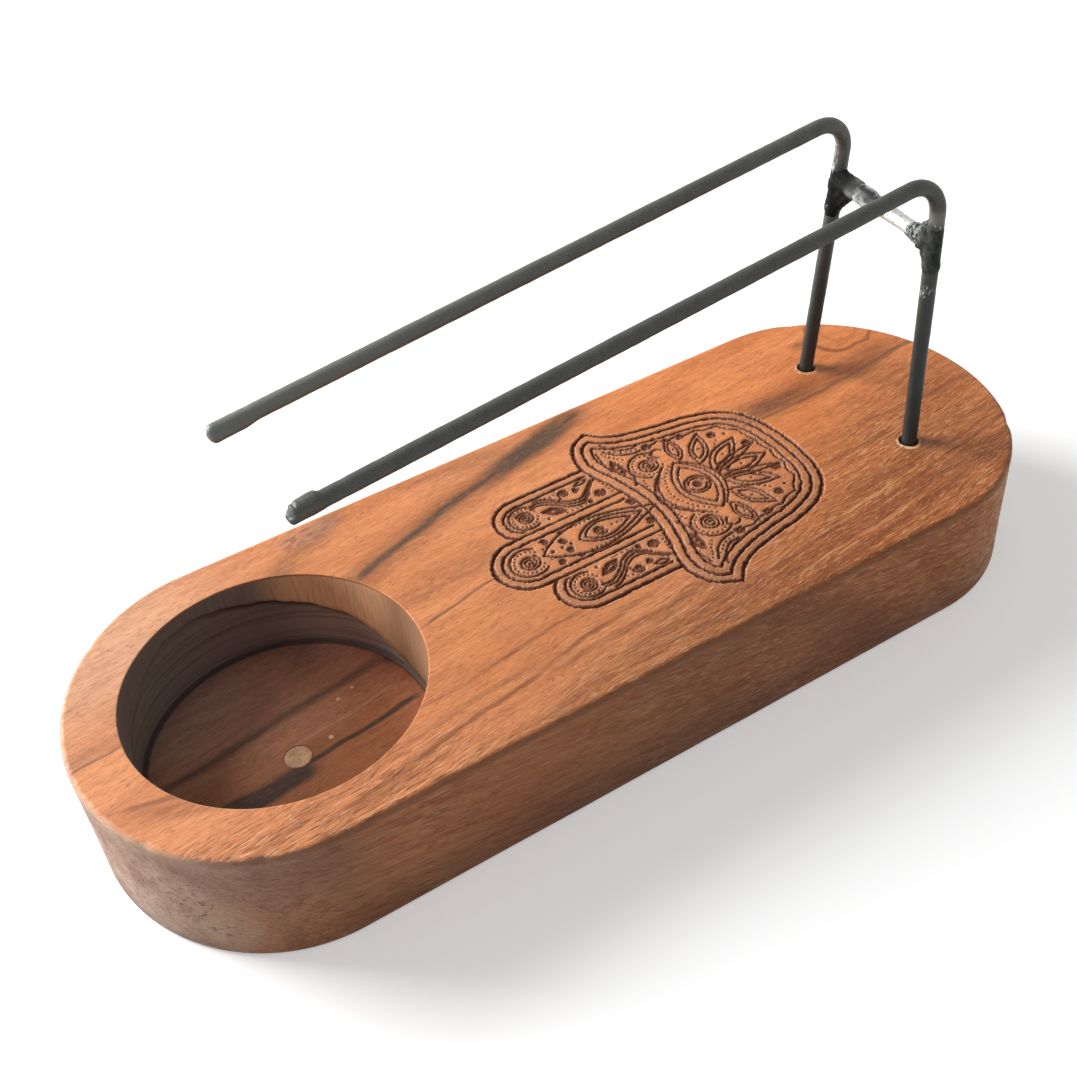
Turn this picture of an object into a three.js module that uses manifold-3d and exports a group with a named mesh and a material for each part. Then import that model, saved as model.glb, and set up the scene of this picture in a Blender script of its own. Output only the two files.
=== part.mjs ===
// Palo santo burner: a hardwood block with a bored bowl for a tea light, and a
// bent wire stand whose two rails hold a stick of palo santo over the flame.
// Millimetres, +Z up. The origin is under the middle of the block: +X runs from
// the bowl to the wire legs, and +Y is the left side seen from the bowl end.
import * as THREE from 'three';
import { mergeVertices } from 'three/addons/utils/BufferGeometryUtils.js';
import Module from 'manifold-3d';

const wasm = await Module();
wasm.setup();

// Block
const BLOCK_LENGTH = 152;
const BLOCK_WIDTH = 56;
const BLOCK_THICKNESS = 20.5;
const END_ROUNDING = 25.5; // how far each half-elliptical end reaches past the straight sides
const EDGE_EASE = 0.8; // sanded round-over of the top and bottom edges

// Bowl
const BOWL_RADIUS = 21;
const BOWL_FRONT_WALL = 7.6; // wood between the bowl and the front end
const BOWL_FLOOR = 6.5; // wood left under the bowl
const RIM_CHAMFER = 0.3;

// Plug that fills the boring bit's centre hole in the bowl's floor
const PLUG_RADIUS = 2;
const PLUG_OFFSET = 1.8; // from the bowl's centre towards the right side
const PLUG_CLEARANCE = 0.15;
const WOOD_UNDER_PLUG = 2.5;

// Leg holes
const HOLE_CLEARANCE = 0.35; // round the wire, so that the stand lifts out
const HOLE_SPACING = 24.6;
const HOLE_PAIR_OFFSET = 1.3; // the pair sits this far left of the centre line
const HOLE_FROM_BACK_END = 20.6;
const WOOD_UNDER_HOLES = 6.5;

// Wire stand
const WIRE_RADIUS = 1.15;
const LEFT_LEG_HEIGHT = 45.1; // block top to the corner of the bend, along the vertical
const RIGHT_LEG_HEIGHT = 43.25;
const LEFT_RAIL_LENGTH = 102.7; // corner of the bend to the tip
const RIGHT_RAIL_LENGTH = 100.4;
const LEAN_IN = 3.4; // degrees, each leg towards the other
const LEAN_BACK = 3.15; // degrees, both legs away from the bowl
const LEFT_RAIL_FALL = 6.05; // degrees, rails drop towards their tips
const RIGHT_RAIL_FALL = 5.65;
const RAIL_SWING = 0.4; // degrees, rails turn to the right side
const BEND_RADIUS = 5; // wire centre line, between leg and rail
const FOOT_BEND_RADIUS = 8; // the slight set where a leg leaves its hole
const FOOT_BEND_HEIGHT = 0.6;
const TIP_SWELL = 0.16; // hammered bump on top of the right rail's tip
const TIP_SWELL_FROM_END = 2.6;
const BAR_DROP = 10.35; // cross bar below the corner of each bend

// Weld fillets between legs and cross bar
const WELD_REACH = 4.3; // along the bar, from the leg's centre line
const WELD_START = 0.4;
const WELD_GAP = 0.2; // between a fillet and the wires it joins
const WELD_SKIN = 0.42; // thickness round the bar at the fillet's thin end
const WELD_SIDE = 0.75; // thickness beside the leg
const LEFT_WELD_ABOVE = 0.95; // height over the bar, at the leg
const LEFT_WELD_BELOW = 3.45;
const RIGHT_WELD_ABOVE = 1.85;
const RIGHT_WELD_BELOW = 2.45;

// Facets and cutting
const ROUND_SIDES = 20;
const BOWL_SIDES = 96;
const END_SEGMENTS = 24; // half the facets of each rounded end
const EASE_STEPS = 3;
const BEND_STEPS = 8;
const WELD_RINGS = 7;
const TIP_ANGLES = [0, 30, 55, 75]; // degrees round the quarter circle of a wire's tip
const OVERCUT = 1; // how far a cutter reaches past the face it opens
const MERGE_DISTANCE = 1e-4;

// Places that several pieces share
const bowlX = -BLOCK_LENGTH / 2 + BOWL_FRONT_WALL + BOWL_RADIUS;
const legX = BLOCK_LENGTH / 2 - HOLE_FROM_BACK_END;
const leftLegY = HOLE_PAIR_OFFSET + HOLE_SPACING / 2;
const rightLegY = HOLE_PAIR_OFFSET - HOLE_SPACING / 2;
const radians = THREE.MathUtils.degToRad;
const UP = new THREE.Vector3(0, 0, 1);
const LEFT = new THREE.Vector3(0, 1, 0);
const BACK = new THREE.Vector3(1, 0, 0);

const walnutBrown = { color: 0xa86438, roughness: 0.62, metalness: 0 };
const paleWood = { color: 0xc99a6b, roughness: 0.7, metalness: 0 };
const darkSteel = { color: 0x4b4d4d, roughness: 0.45, metalness: 0.85 };
const groundSteel = { color: 0xb4b6b4, roughness: 0.35, metalness: 0.95 };
const weldSteel = { color: 0x6e706f, roughness: 0.5, metalness: 0.9 };

// Turns a closed geometry into a solid for cutting, without its zero-area triangles
function toSolid(geometry) {
  const bare = geometry.clone();
  bare.deleteAttribute('normal');
  bare.deleteAttribute('uv');
  const merged = mergeVertices(bare, MERGE_DISTANCE);
  const corners = merged.index.array;
  const kept = [];
  for (let i = 0; i < corners.length; i += 3) {
    const [a, b, c] = corners.subarray(i, i + 3);
    if (a !== b && b !== c && c !== a) {
      kept.push(a, b, c);
    }
  }
  return new wasm.Manifold(new wasm.Mesh({
    numProp: 3,
    vertProperties: new Float32Array(merged.attributes.position.array),
    triVerts: new Uint32Array(kept),
  }));
}

function toGeometry(solid) {
  const mesh = solid.getMesh();
  const geometry = new THREE.BufferGeometry();
  geometry.setAttribute('position', new THREE.BufferAttribute(new Float32Array(mesh.vertProperties), 3));
  geometry.setIndex(new THREE.BufferAttribute(new Uint32Array(mesh.triVerts), 1));
  geometry.computeVertexNormals();
  return geometry;
}

// An upright round bar or hole between two heights
function uprightCylinder(radius, x, y, bottom, top, sides) {
  const geometry = new THREE.CylinderGeometry(radius, radius, top - bottom, sides);
  geometry.rotateX(Math.PI / 2);
  geometry.translate(x, y, (bottom + top) / 2);
  return geometry;
}

// One closed oval of points round a centre, square to a heading. The first half-width
// lies along the sideways direction, the second square to it.
function ring(centre, heading, sideways, halfSideways, halfUpright) {
  const upright = new THREE.Vector3().crossVectors(heading, sideways).normalize();
  const level = new THREE.Vector3().crossVectors(upright, heading);
  const points = [];
  for (let i = 0; i < ROUND_SIDES; i += 1) {
    const angle = (2 * Math.PI * i) / ROUND_SIDES;
    const point = centre.clone();
    point.addScaledVector(level, halfSideways * Math.cos(angle));
    point.addScaledVector(upright, halfUpright * Math.sin(angle));
    points.push(point);
  }
  return points;
}

// Joins rings of equal count into one closed body with a flat cap at each end
function loft(rings) {
  const count = rings[0].length;
  const points = rings.flat();
  const last = (rings.length - 1) * count;
  const index = [];
  for (let r = 0; r < last; r += count) {
    for (let i = 0; i < count; i += 1) {
      const j = (i + 1) % count;
      index.push(r + i, r + j, r + count + j, r + i, r + count + j, r + count + i);
    }
  }
  for (let i = 1; i < count - 1; i += 1) {
    index.push(0, i + 1, i, last, last + i, last + i + 1);
  }
  const geometry = new THREE.BufferGeometry().setFromPoints(points);
  geometry.setIndex(index);
  geometry.computeVertexNormals();
  return geometry;
}

// Points and headings round a corner of a wire's centre line, on an arc of the given radius
function bend(before, corner, after, radius) {
  const inward = corner.clone().sub(before).normalize();
  const outward = after.clone().sub(corner).normalize();
  const turn = inward.angleTo(outward);
  const start = corner.clone().addScaledVector(inward, -radius * Math.tan(turn / 2));
  const toCentre = outward.clone().addScaledVector(inward, -inward.dot(outward)).normalize();
  const centre = start.clone().addScaledVector(toCentre, radius);
  const stations = [];
  for (let i = 0; i <= BEND_STEPS; i += 1) {
    const angle = (turn * i) / BEND_STEPS;
    const centreLine = centre.clone();
    centreLine.addScaledVector(inward, radius * Math.sin(angle));
    centreLine.addScaledVector(toCentre, -radius * Math.cos(angle));
    const heading = inward.clone().multiplyScalar(Math.cos(angle));
    heading.addScaledVector(toCentre, Math.sin(angle));
    stations.push({ centreLine, heading });
  }
  return stations;
}

// Centre line of one bent wire: hole floor, block top, corner of the bend, tip
function wireCorners(legY, legHeight, railLength, railFall) {
  const inward = -Math.sign(legY - HOLE_PAIR_OFFSET);
  const foot = new THREE.Vector3(legX, legY, WOOD_UNDER_HOLES);
  const deck = new THREE.Vector3(legX, legY, BLOCK_THICKNESS + FOOT_BEND_HEIGHT);
  const rise = legHeight - FOOT_BEND_HEIGHT;
  const lean = new THREE.Vector3(Math.tan(radians(LEAN_BACK)), inward * Math.tan(radians(LEAN_IN)), 1);
  const corner = deck.clone().addScaledVector(lean, rise);
  const along = BACK.clone().negate();
  along.applyAxisAngle(LEFT, -radians(railFall));
  along.applyAxisAngle(UP, radians(RAIL_SWING));
  const tip = corner.clone().addScaledVector(along, railLength);
  return { foot, deck, corner, tip, lean, along };
}

const leftWire = wireCorners(leftLegY, LEFT_LEG_HEIGHT, LEFT_RAIL_LENGTH, LEFT_RAIL_FALL);
const rightWire = wireCorners(rightLegY, RIGHT_LEG_HEIGHT, RIGHT_RAIL_LENGTH, RIGHT_RAIL_FALL);

// Where the cross bar's centre line meets a leg
function barJoint(wire) {
  return wire.corner.clone().addScaledVector(wire.lean, -BAR_DROP);
}

// Rounded, slightly swollen tip: a few rings whose radius follows a quarter circle
function tipRings(wire, radius, swell) {
  const rings = [];
  const swellStart = wire.tip.clone().addScaledVector(wire.along, -2 * TIP_SWELL_FROM_END);
  rings.push(ring(swellStart, wire.along, LEFT, radius, radius));
  const top = wire.tip.clone().addScaledVector(wire.along, -TIP_SWELL_FROM_END);
  top.z += swell / 2;
  rings.push(ring(top, wire.along, LEFT, radius + swell / 2, radius + swell));
  for (const degrees of TIP_ANGLES) {
    const angle = radians(degrees);
    const centre = wire.tip.clone().addScaledVector(wire.along, radius * (Math.sin(angle) - 1));
    const tipRadius = radius * Math.cos(angle);
    rings.push(ring(centre, wire.along, LEFT, tipRadius, tipRadius));
  }
  return rings;
}

// One bent wire, from its cropped foot in the hole to its rounded tip
function bentWire(wire, radius, swell) {
  const rings = [ring(wire.foot, UP, LEFT, radius, radius)];
  const bends = [
    ...bend(wire.foot, wire.deck, wire.corner, FOOT_BEND_RADIUS),
    ...bend(wire.deck, wire.corner, wire.tip, BEND_RADIUS),
  ];
  for (const { centreLine, heading } of bends) {
    rings.push(ring(centreLine, heading, LEFT, radius, radius));
  }
  rings.push(...tipRings(wire, radius, swell));
  return loft(rings);
}

// A straight wire between the two legs, its ends clear of them
function crossBar(radius, clearance) {
  const left = barJoint(leftWire);
  const right = barJoint(rightWire);
  const along = right.clone().sub(left).normalize();
  const inset = WIRE_RADIUS + clearance;
  const start = left.clone().addScaledVector(along, inset);
  const end = right.clone().addScaledVector(along, -inset);
  return loft([ring(start, along, BACK, radius, radius), ring(end, along, BACK, radius, radius)]);
}

// A fillet round the bar's end: ovals that shrink along the bar, cut clear of the leg and the bar
function weldFillet(wire, otherWire, above, below) {
  const joint = barJoint(wire);
  const along = barJoint(otherWire).sub(joint).normalize();
  const thinEnd = WIRE_RADIUS + WELD_GAP + WELD_SKIN;
  const beside = WIRE_RADIUS + WELD_GAP + WELD_SIDE;
  const rings = [];
  for (let i = 0; i < WELD_RINGS; i += 1) {
    const share = i / (WELD_RINGS - 1);
    const swell = (1 - share) ** 2;
    const up = THREE.MathUtils.lerp(thinEnd, WIRE_RADIUS + above, swell);
    const down = THREE.MathUtils.lerp(thinEnd, WIRE_RADIUS + below, swell);
    const across = THREE.MathUtils.lerp(thinEnd, beside, swell);
    const distance = THREE.MathUtils.lerp(WELD_START, WELD_REACH, share);
    const centre = joint.clone().addScaledVector(along, distance);
    centre.z += (up - down) / 2;
    rings.push(ring(centre, along, BACK, across, (up + down) / 2));
  }
  const leg = toSolid(bentWire(wire, WIRE_RADIUS + WELD_GAP, 0));
  const bar = toSolid(crossBar(WIRE_RADIUS + WELD_GAP, -WIRE_RADIUS));
  return toGeometry(toSolid(loft(rings)).subtract(leg).subtract(bar));
}

// The block's outline seen from above: straight sides and half-elliptical ends
function blockOutline() {
  const straight = BLOCK_LENGTH / 2 - END_ROUNDING;
  const half = BLOCK_WIDTH / 2;
  const shape = new THREE.Shape();
  shape.absellipse(straight, 0, END_ROUNDING, half, -Math.PI / 2, Math.PI / 2, false, 0);
  shape.absellipse(-straight, 0, END_ROUNDING, half, Math.PI / 2, (3 * Math.PI) / 2, false, 0);
  return shape;
}

// The bowl's cutter: a straight bore with a small chamfer at the rim
function bowlCutter() {
  const rim = BOWL_RADIUS + RIM_CHAMFER;
  const above = BLOCK_THICKNESS + OVERCUT;
  const profile = [
    new THREE.Vector2(0, BOWL_FLOOR),
    new THREE.Vector2(BOWL_RADIUS, BOWL_FLOOR),
    new THREE.Vector2(BOWL_RADIUS, BLOCK_THICKNESS - RIM_CHAMFER),
    new THREE.Vector2(rim, BLOCK_THICKNESS),
    new THREE.Vector2(rim, above),
    new THREE.Vector2(0, above),
  ];
  const geometry = new THREE.LatheGeometry(profile, BOWL_SIDES);
  geometry.rotateX(Math.PI / 2);
  geometry.translate(bowlX, 0, 0);
  return geometry;
}

function woodenBase() {
  const block = new THREE.ExtrudeGeometry(blockOutline(), {
    depth: BLOCK_THICKNESS - 2 * EDGE_EASE,
    bevelThickness: EDGE_EASE,
    bevelSize: EDGE_EASE,
    bevelOffset: -EDGE_EASE,
    bevelSegments: EASE_STEPS,
    curveSegments: END_SEGMENTS,
  });
  block.translate(0, 0, EDGE_EASE);
  const above = BLOCK_THICKNESS + OVERCUT;
  const holeRadius = WIRE_RADIUS + HOLE_CLEARANCE;
  let wood = toSolid(block).subtract(toSolid(bowlCutter()));
  for (const legY of [leftLegY, rightLegY]) {
    const hole = uprightCylinder(holeRadius, legX, legY, WOOD_UNDER_HOLES, above, ROUND_SIDES);
    wood = wood.subtract(toSolid(hole));
  }
  const plugHole = plugRound(PLUG_RADIUS + PLUG_CLEARANCE, BOWL_FLOOR + OVERCUT);
  return toGeometry(wood.subtract(toSolid(plugHole)));
}

// The plug, or the hole it fills, from the hole's floor up
function plugRound(radius, top) {
  return uprightCylinder(radius, bowlX, -PLUG_OFFSET, WOOD_UNDER_PLUG, top, ROUND_SIDES);
}

function namedMesh(name, geometry, finish) {
  const mesh = new THREE.Mesh(geometry, new THREE.MeshStandardMaterial(finish));
  mesh.name = name;
  return mesh;
}

const block = new THREE.Group();
block.add(
  namedMesh('wooden_base', woodenBase(), walnutBrown),
  namedMesh('bowl_plug', plugRound(PLUG_RADIUS, BOWL_FLOOR), paleWood),
);

const stand = new THREE.Group();
stand.add(
  namedMesh('left_rod', bentWire(leftWire, WIRE_RADIUS, 0), darkSteel),
  namedMesh('right_rod', bentWire(rightWire, WIRE_RADIUS, TIP_SWELL), darkSteel),
  namedMesh('cross_bar', crossBar(WIRE_RADIUS, WELD_GAP), groundSteel),
  namedMesh('left_weld', weldFillet(leftWire, rightWire, LEFT_WELD_ABOVE, LEFT_WELD_BELOW), weldSteel),
  namedMesh('right_weld', weldFillet(rightWire, leftWire, RIGHT_WELD_ABOVE, RIGHT_WELD_BELOW), weldSteel),
);

const burner = new THREE.Group();
burner.add(block, stand);

export default burner;
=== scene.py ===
"""Looks of a palo santo burner: a carved hardwood block with a wire stand that lifts out.

Shapes are worked out in millimetres on the frame's own axes and put into the meshes in metres:
+X runs from the bowl to the wire legs, +Y is the left side seen from the bowl end, +Z is up.
"""

import math

import bpy
import numpy as np
from bpy.props import FloatProperty, FloatVectorProperty, PointerProperty
from mathutils import Matrix, Vector
from mathutils.geometry import delaunay_2d_cdt


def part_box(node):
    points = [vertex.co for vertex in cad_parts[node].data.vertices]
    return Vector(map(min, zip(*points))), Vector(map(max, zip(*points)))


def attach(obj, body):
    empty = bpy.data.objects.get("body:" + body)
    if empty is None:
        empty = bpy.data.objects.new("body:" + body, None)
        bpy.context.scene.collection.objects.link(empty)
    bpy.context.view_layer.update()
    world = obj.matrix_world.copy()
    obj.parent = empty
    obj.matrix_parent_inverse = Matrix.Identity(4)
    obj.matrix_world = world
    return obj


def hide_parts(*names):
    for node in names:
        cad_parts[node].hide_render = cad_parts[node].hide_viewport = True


bl_info = {
    "name": "Palo Santo Burner",
    "version": (1, 0, 0),
    "blender": (4, 5, 0),
    "location": "View3D > Sidebar > Burner",
    "description": "Builds the carved block, the wire stand and the studio around the packed frame",
    "category": "Object",
}

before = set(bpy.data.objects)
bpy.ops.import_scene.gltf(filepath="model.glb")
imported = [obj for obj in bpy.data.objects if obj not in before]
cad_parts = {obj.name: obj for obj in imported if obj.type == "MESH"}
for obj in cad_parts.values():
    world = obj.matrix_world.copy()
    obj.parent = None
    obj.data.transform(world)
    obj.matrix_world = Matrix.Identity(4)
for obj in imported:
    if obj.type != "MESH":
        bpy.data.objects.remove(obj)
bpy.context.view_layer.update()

MM = 0.001
BASE, STAND = "base", "stand"
MERGE_GRID = 1e-5  # corners that round to the same step of this size, in mm, become one


def node_box(name):
    """Lowest and highest corner of a frame node, in millimetres."""
    return tuple(np.array(corner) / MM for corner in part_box(name))


HALF_LENGTH, HALF_WIDTH, TOP = node_box("wooden_base")[1]
PLUG_LOW, PLUG_HIGH = node_box("bowl_plug")
PLUG = (PLUG_LOW + PLUG_HIGH)[:2] / 2
PLUG_RADIUS = (PLUG_HIGH - PLUG_LOW)[0] / 2
FLOOR = PLUG_HIGH[2]
BOWL = np.array([PLUG[0], 0.0])


# ---- Settings -------------------------------------------------------------------------------


def length(name, description, millimetres):
    """A length property; its default is given in millimetres."""
    return FloatProperty(
        name=name, description=description, default=millimetres * MM, min=0.0,
        precision=5, subtype="DISTANCE", unit="LENGTH",
    )


def colour(name, description, red, green, blue):
    """A colour property; its default is given as display values from 0 to 255."""
    linear = [linear_value(channel / 255) for channel in (red, green, blue)]
    return FloatVectorProperty(
        name=name, description=description, default=(*linear, 1.0),
        size=4, min=0.0, max=1.0, subtype="COLOR",
    )


def linear_value(shown):
    """Display value to linear light."""
    return shown / 12.92 if shown <= 0.04045 else ((shown + 0.055) / 1.055) ** 2.4


class BlockSettings(bpy.types.PropertyGroup):
    """Sizes and colours of the carved block."""

    end_rounding: length("End rounding", "How far each rounded end reaches past the straight sides", 25.5)
    edge_ease: length("Edge ease", "Radius of the sanded top and bottom edges", 0.8)
    bowl_radius: length("Bowl radius", "Radius of the bored bowl", 21.0)
    band_step: length("Band step", "How far the rough lower wall lies behind the smooth band", 0.25)
    groove_depth: length("Groove depth", "Depth of the engraved lines", 0.4)
    groove_grid: length("Engraving grid", "Spacing of the points that carry the engraving", 0.14)
    hole_radius: length("Hole radius", "Radius of the two leg holes", 1.5)
    wood_light: colour("Light wood", "Pale early wood", 234, 152, 98)
    wood_mid: colour("Wood", "Main colour of the wood", 212, 131, 79)
    wood_dark: colour("Dark wood", "Late wood between the pale bands", 120, 66, 36)
    streak: colour("Streak", "Mineral streaks in the wood", 60, 51, 40)
    burn: colour("Burnt groove", "Charred floor of the engraving", 74, 20, 5)


class StandSettings(bpy.types.PropertyGroup):
    """Sizes and colours of the wire stand."""

    wire_radius: length("Wire radius", "Radius of the bent wires and the cross bar", 1.15)
    bend_radius: length("Bend radius", "Centre line radius between leg and rail", 5.0)
    steel: colour("Mill scale", "Dark skin of the bent wires", 84, 86, 80)
    bright_steel: colour("Bright steel", "Ground and scratched places", 206, 208, 204)
    weld_steel: colour("Weld", "Skin of the weld beads", 52, 56, 54)


class StageSettings(bpy.types.PropertyGroup):
    """Camera, floor and light."""

    lens: FloatProperty(name="Lens", description="Focal length on a 36 mm sensor", default=46.52, min=10.0)
    key_power: FloatProperty(
        name="Key light", description="Power of the large soft lamp", default=7.6, min=0.0, unit="POWER"
    )
    room_light: FloatProperty(
        name="Room light", description="Strength of the even light from all round", default=0.30, min=0.0
    )
    floor_colour: colour("Floor", "Paint of the studio floor", 240, 240, 240)


# ---- Meshes ---------------------------------------------------------------------------------


def merged(patches):
    """Joins patches of points and faces; points on the same step of a fine grid become one."""
    points = np.concatenate([patch[0] for patch in patches])
    starts = np.cumsum([0] + [len(patch[0]) for patch in patches])
    keys = np.round(points / MERGE_GRID).astype(np.int64)
    _, first, place = np.unique(keys, axis=0, return_index=True, return_inverse=True)
    place = place.ravel()
    faces = [place[faces + start] for (_, *groups), start in zip(patches, starts) for faces in groups]
    return points[first], faces, first


def place_object(data, name, matrix=Matrix.Identity(4)):
    """Links an object to the scene at a place."""
    made = bpy.data.objects.new(name, data)
    made.matrix_world = matrix
    bpy.context.scene.collection.objects.link(made)
    return made


def add_piece(name, patches, material, body, nodes, marks=None):
    """A patch is an array of points in millimetres with arrays of triangles or quads; marks are
    point values by name, in the order of the patches' points.
    """
    points, faces, first = merged(patches)
    mesh = bpy.data.meshes.new(name)
    corners = np.concatenate([group.ravel() for group in faces]).astype(np.int32)
    sizes = np.concatenate([np.full(len(group), group.shape[1]) for group in faces])
    mesh.vertices.add(len(points))
    mesh.vertices.foreach_set("co", (points * MM).astype(np.float32).ravel())
    mesh.loops.add(len(corners))
    mesh.loops.foreach_set("vertex_index", corners)
    mesh.polygons.add(len(sizes))
    mesh.polygons.foreach_set("loop_start", (np.cumsum(sizes) - sizes).astype(np.int32))
    for mark, values in (marks or {}).items():
        attribute = mesh.attributes.new(mark, "FLOAT", "POINT")
        attribute.data.foreach_set("value", values[first].astype(np.float32))
    mesh.update(calc_edges=True)
    mesh.polygons.foreach_set("use_smooth", np.ones(len(sizes), bool))
    if mesh.validate(verbose=False):
        raise RuntimeError(f"{name} had faces that Blender took out")
    mesh.materials.append(material)
    piece = place_object(mesh, name)
    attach(piece, body)
    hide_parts(*nodes)
    return piece


def skin(rings):
    """Quads between neighbouring rings of an array (rings, points, 3), outside out when the
    rings turn anticlockwise about the way that they follow each other."""
    count, around = rings.shape[:2]
    row, step = np.meshgrid(np.arange(count - 1), np.arange(around), indexing="ij")
    here, beside = row * around + step, row * around + (step + 1) % around
    quads = np.stack([here, beside, beside + around, here + around], -1).reshape(-1, 4)
    return rings.reshape(-1, 3), quads


def fan(ring, centre, upward):
    """Triangles from a ring to one point; upward tells which side of the cap is outside."""
    around = len(ring)
    here = np.arange(around)
    beside = (here + 1) % around
    order = [here, beside] if upward else [beside, here]
    triangles = np.stack([*order, np.full(around, around)], -1)
    return np.vstack([ring, centre]), triangles


def closed(rings, last, first):
    """A skin with a fan from its last ring to one point and from its first ring to another."""
    return [skin(rings), fan(rings[-1], last, upward=True), fan(rings[0], first, upward=False)]


def capped(values):
    """Point values for the patches of a closed skin."""
    return np.concatenate([values.ravel(), values[-1], [values[-1].mean()], values[0], [values[0].mean()]])


def circle(centre, radius, height, around):
    """Anticlockwise level circle of points."""
    angle = np.linspace(0, 2 * math.pi, around, endpoint=False)
    return np.stack([
        centre[0] + radius * np.cos(angle),
        centre[1] + radius * np.sin(angle),
        np.broadcast_to(height, angle.shape),
    ], -1)


def smooth_step(low, high, value):
    """0 below low, 1 above high, and the usual cubic between."""
    share = np.clip((value - low) / (high - low), 0, 1)
    return share * share * (3 - 2 * share)


# ---- Engraving ------------------------------------------------------------------------------
# A hamsa drawn for this part: three fingers point to the bowl, two thumbs flare to the sides,
# and the palm ends in a rounded wrist. Its plan is in millimetres on the deck.

AXIS_Y = -0.2
MIDDLE_FINGER = (-7.2, 15.0, 0.0, 5.3)  # first and last x of the centre line, its y, half width
SIDE_FINGER = (-2.7, 13.0, 8.7, 4.6)
PALM_EDGE = [(13.4, 0), (13.0, 4), (12.0, 8), (10.7, 12.4), (10.9, 16), (12.5, 19), (15.6, 20.7)]
WRIST_EDGE = [(15.6, 20.7), (17.7, 18.4), (21, 16.8), (26, 15.7), (31, 14.8), (35.4, 13.2), (38.4, 10.5),
              (40.0, 7), (40.6, 3.5), (40.8, 0)]
ENGRAVED_X, ENGRAVED_Y = (-13.8, 42.2), (-22.3, 21.9)  # the fine grid's range on the deck
GRID_MARGIN = 0.95  # how far past the hand's outline the fine grid goes
GROOVE_FULLNESS = 0.8  # power that rounds a groove's cross section; below 1 its floor is fuller
EYE_X = 23.0
LINE_HALF_WIDTH, DOT_RADIUS = 0.23, 0.22  # of the inner motifs
MOTIF_STRENGTH = 0.88  # how deep and charred the inner motifs are beside the contours
RAGGED = 1.6  # strength of the sideways shift of the rows, in grid steps
CONTOUR_WOBBLE = 0.28  # strength of the contours' uneven run, in millimetres
OFF_LINE = -3.0  # share of the groove's depth that stands for well away from every groove


def curve(points):
    """A smooth line through points: cubics whose slope at each point is half the step between
    its neighbours."""
    given = np.array(points, float)
    padded = np.vstack([2 * given[0] - given[1], given, 2 * given[-1] - given[-2]])
    before, start, end, after = (padded[i:len(padded) - 3 + i, None] for i in range(4))
    t = np.linspace(0, 1, 10, endpoint=False)[None, :, None]
    line = 0.5 * (2 * start + (end - before) * t + (2 * before - 5 * start + 4 * end - after) * t ** 2
                  + (3 * start - before - 3 * end + after) * t ** 3)
    return np.vstack([line.reshape(-1, 2), given[-1]])


def arc(x, y, radius, start, end):
    """Part of a circle about a point, from one angle to another in degrees."""
    angle = np.radians(np.linspace(start, end, 24))
    return np.stack([x + radius * np.cos(angle), y + radius * np.sin(angle)], -1)


def spiral(x, y, inner, outer, start, turns):
    """A spiral whose radius grows evenly with the angle."""
    share = np.linspace(0, 1, int(abs(turns) * 20) + 4)
    angle = math.radians(start) + 2 * math.pi * turns * share
    radius = inner + (outer - inner) * share
    return np.stack([x + radius * np.cos(angle), y + radius * np.sin(angle)], -1)


def leaf(start, end, half_width, fullness=1.0):
    """Both sides of a pointed leaf: the line from base to tip, moved out by the half width
    times the sine of half a turn of the share travelled; fullness below 1 fills its tip."""
    start, end = np.array(start, float), np.array(end, float)
    share = np.linspace(0, 1, 18)[:, None]
    along = end - start
    across = np.array([-along[1], along[0]]) / np.hypot(*along)
    swell = half_width * np.sin(math.pi * share ** fullness)
    middle = start + along * share
    return [middle + across * swell, middle - across * swell]


def spaced(line, gap):
    """Points along a line, a gap apart."""
    place = travelled(line)
    places = np.linspace(0, place[-1], max(2, int(place[-1] / gap) + 1))
    return np.stack([np.interp(places, place, line[:, axis]) for axis in (0, 1)], -1)


def lens_arc(x, half_length, rise):
    """An arc across the hand, from one side to the other, that bulges along X by its rise."""
    share = np.linspace(-1, 1, 30)
    return np.stack([x + rise * (1 - share ** 2), half_length * share], -1)


def petal(start, end, half_width):
    """A leaf with a smaller leaf inside it and a dot in the middle. Gives lines and the dot."""
    start, end = np.array(start, float), np.array(end, float)
    inner = leaf(start + 0.16 * (end - start), start + 0.82 * (end - start), half_width * 0.55, 0.85)
    return leaf(start, end, half_width, 0.85) + inner, (*(start + 0.47 * (end - start)), 0.2)


def dotted(rows):
    """Rows of dots along smooth lines, from pairs of a gap and the points of a line."""
    return [spaced(curve(points), gap) for gap, points in rows]


def mirrored(shapes):
    """Shapes on one side of the hand's axis, and their reflections on the other side. A shape
    is an array of points, or a disc's x, y and radius."""
    shapes = [np.array(shape, float) for shape in shapes]
    return shapes + [shape * (1, -1, 1)[:shape.shape[-1]] for shape in shapes]


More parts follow.
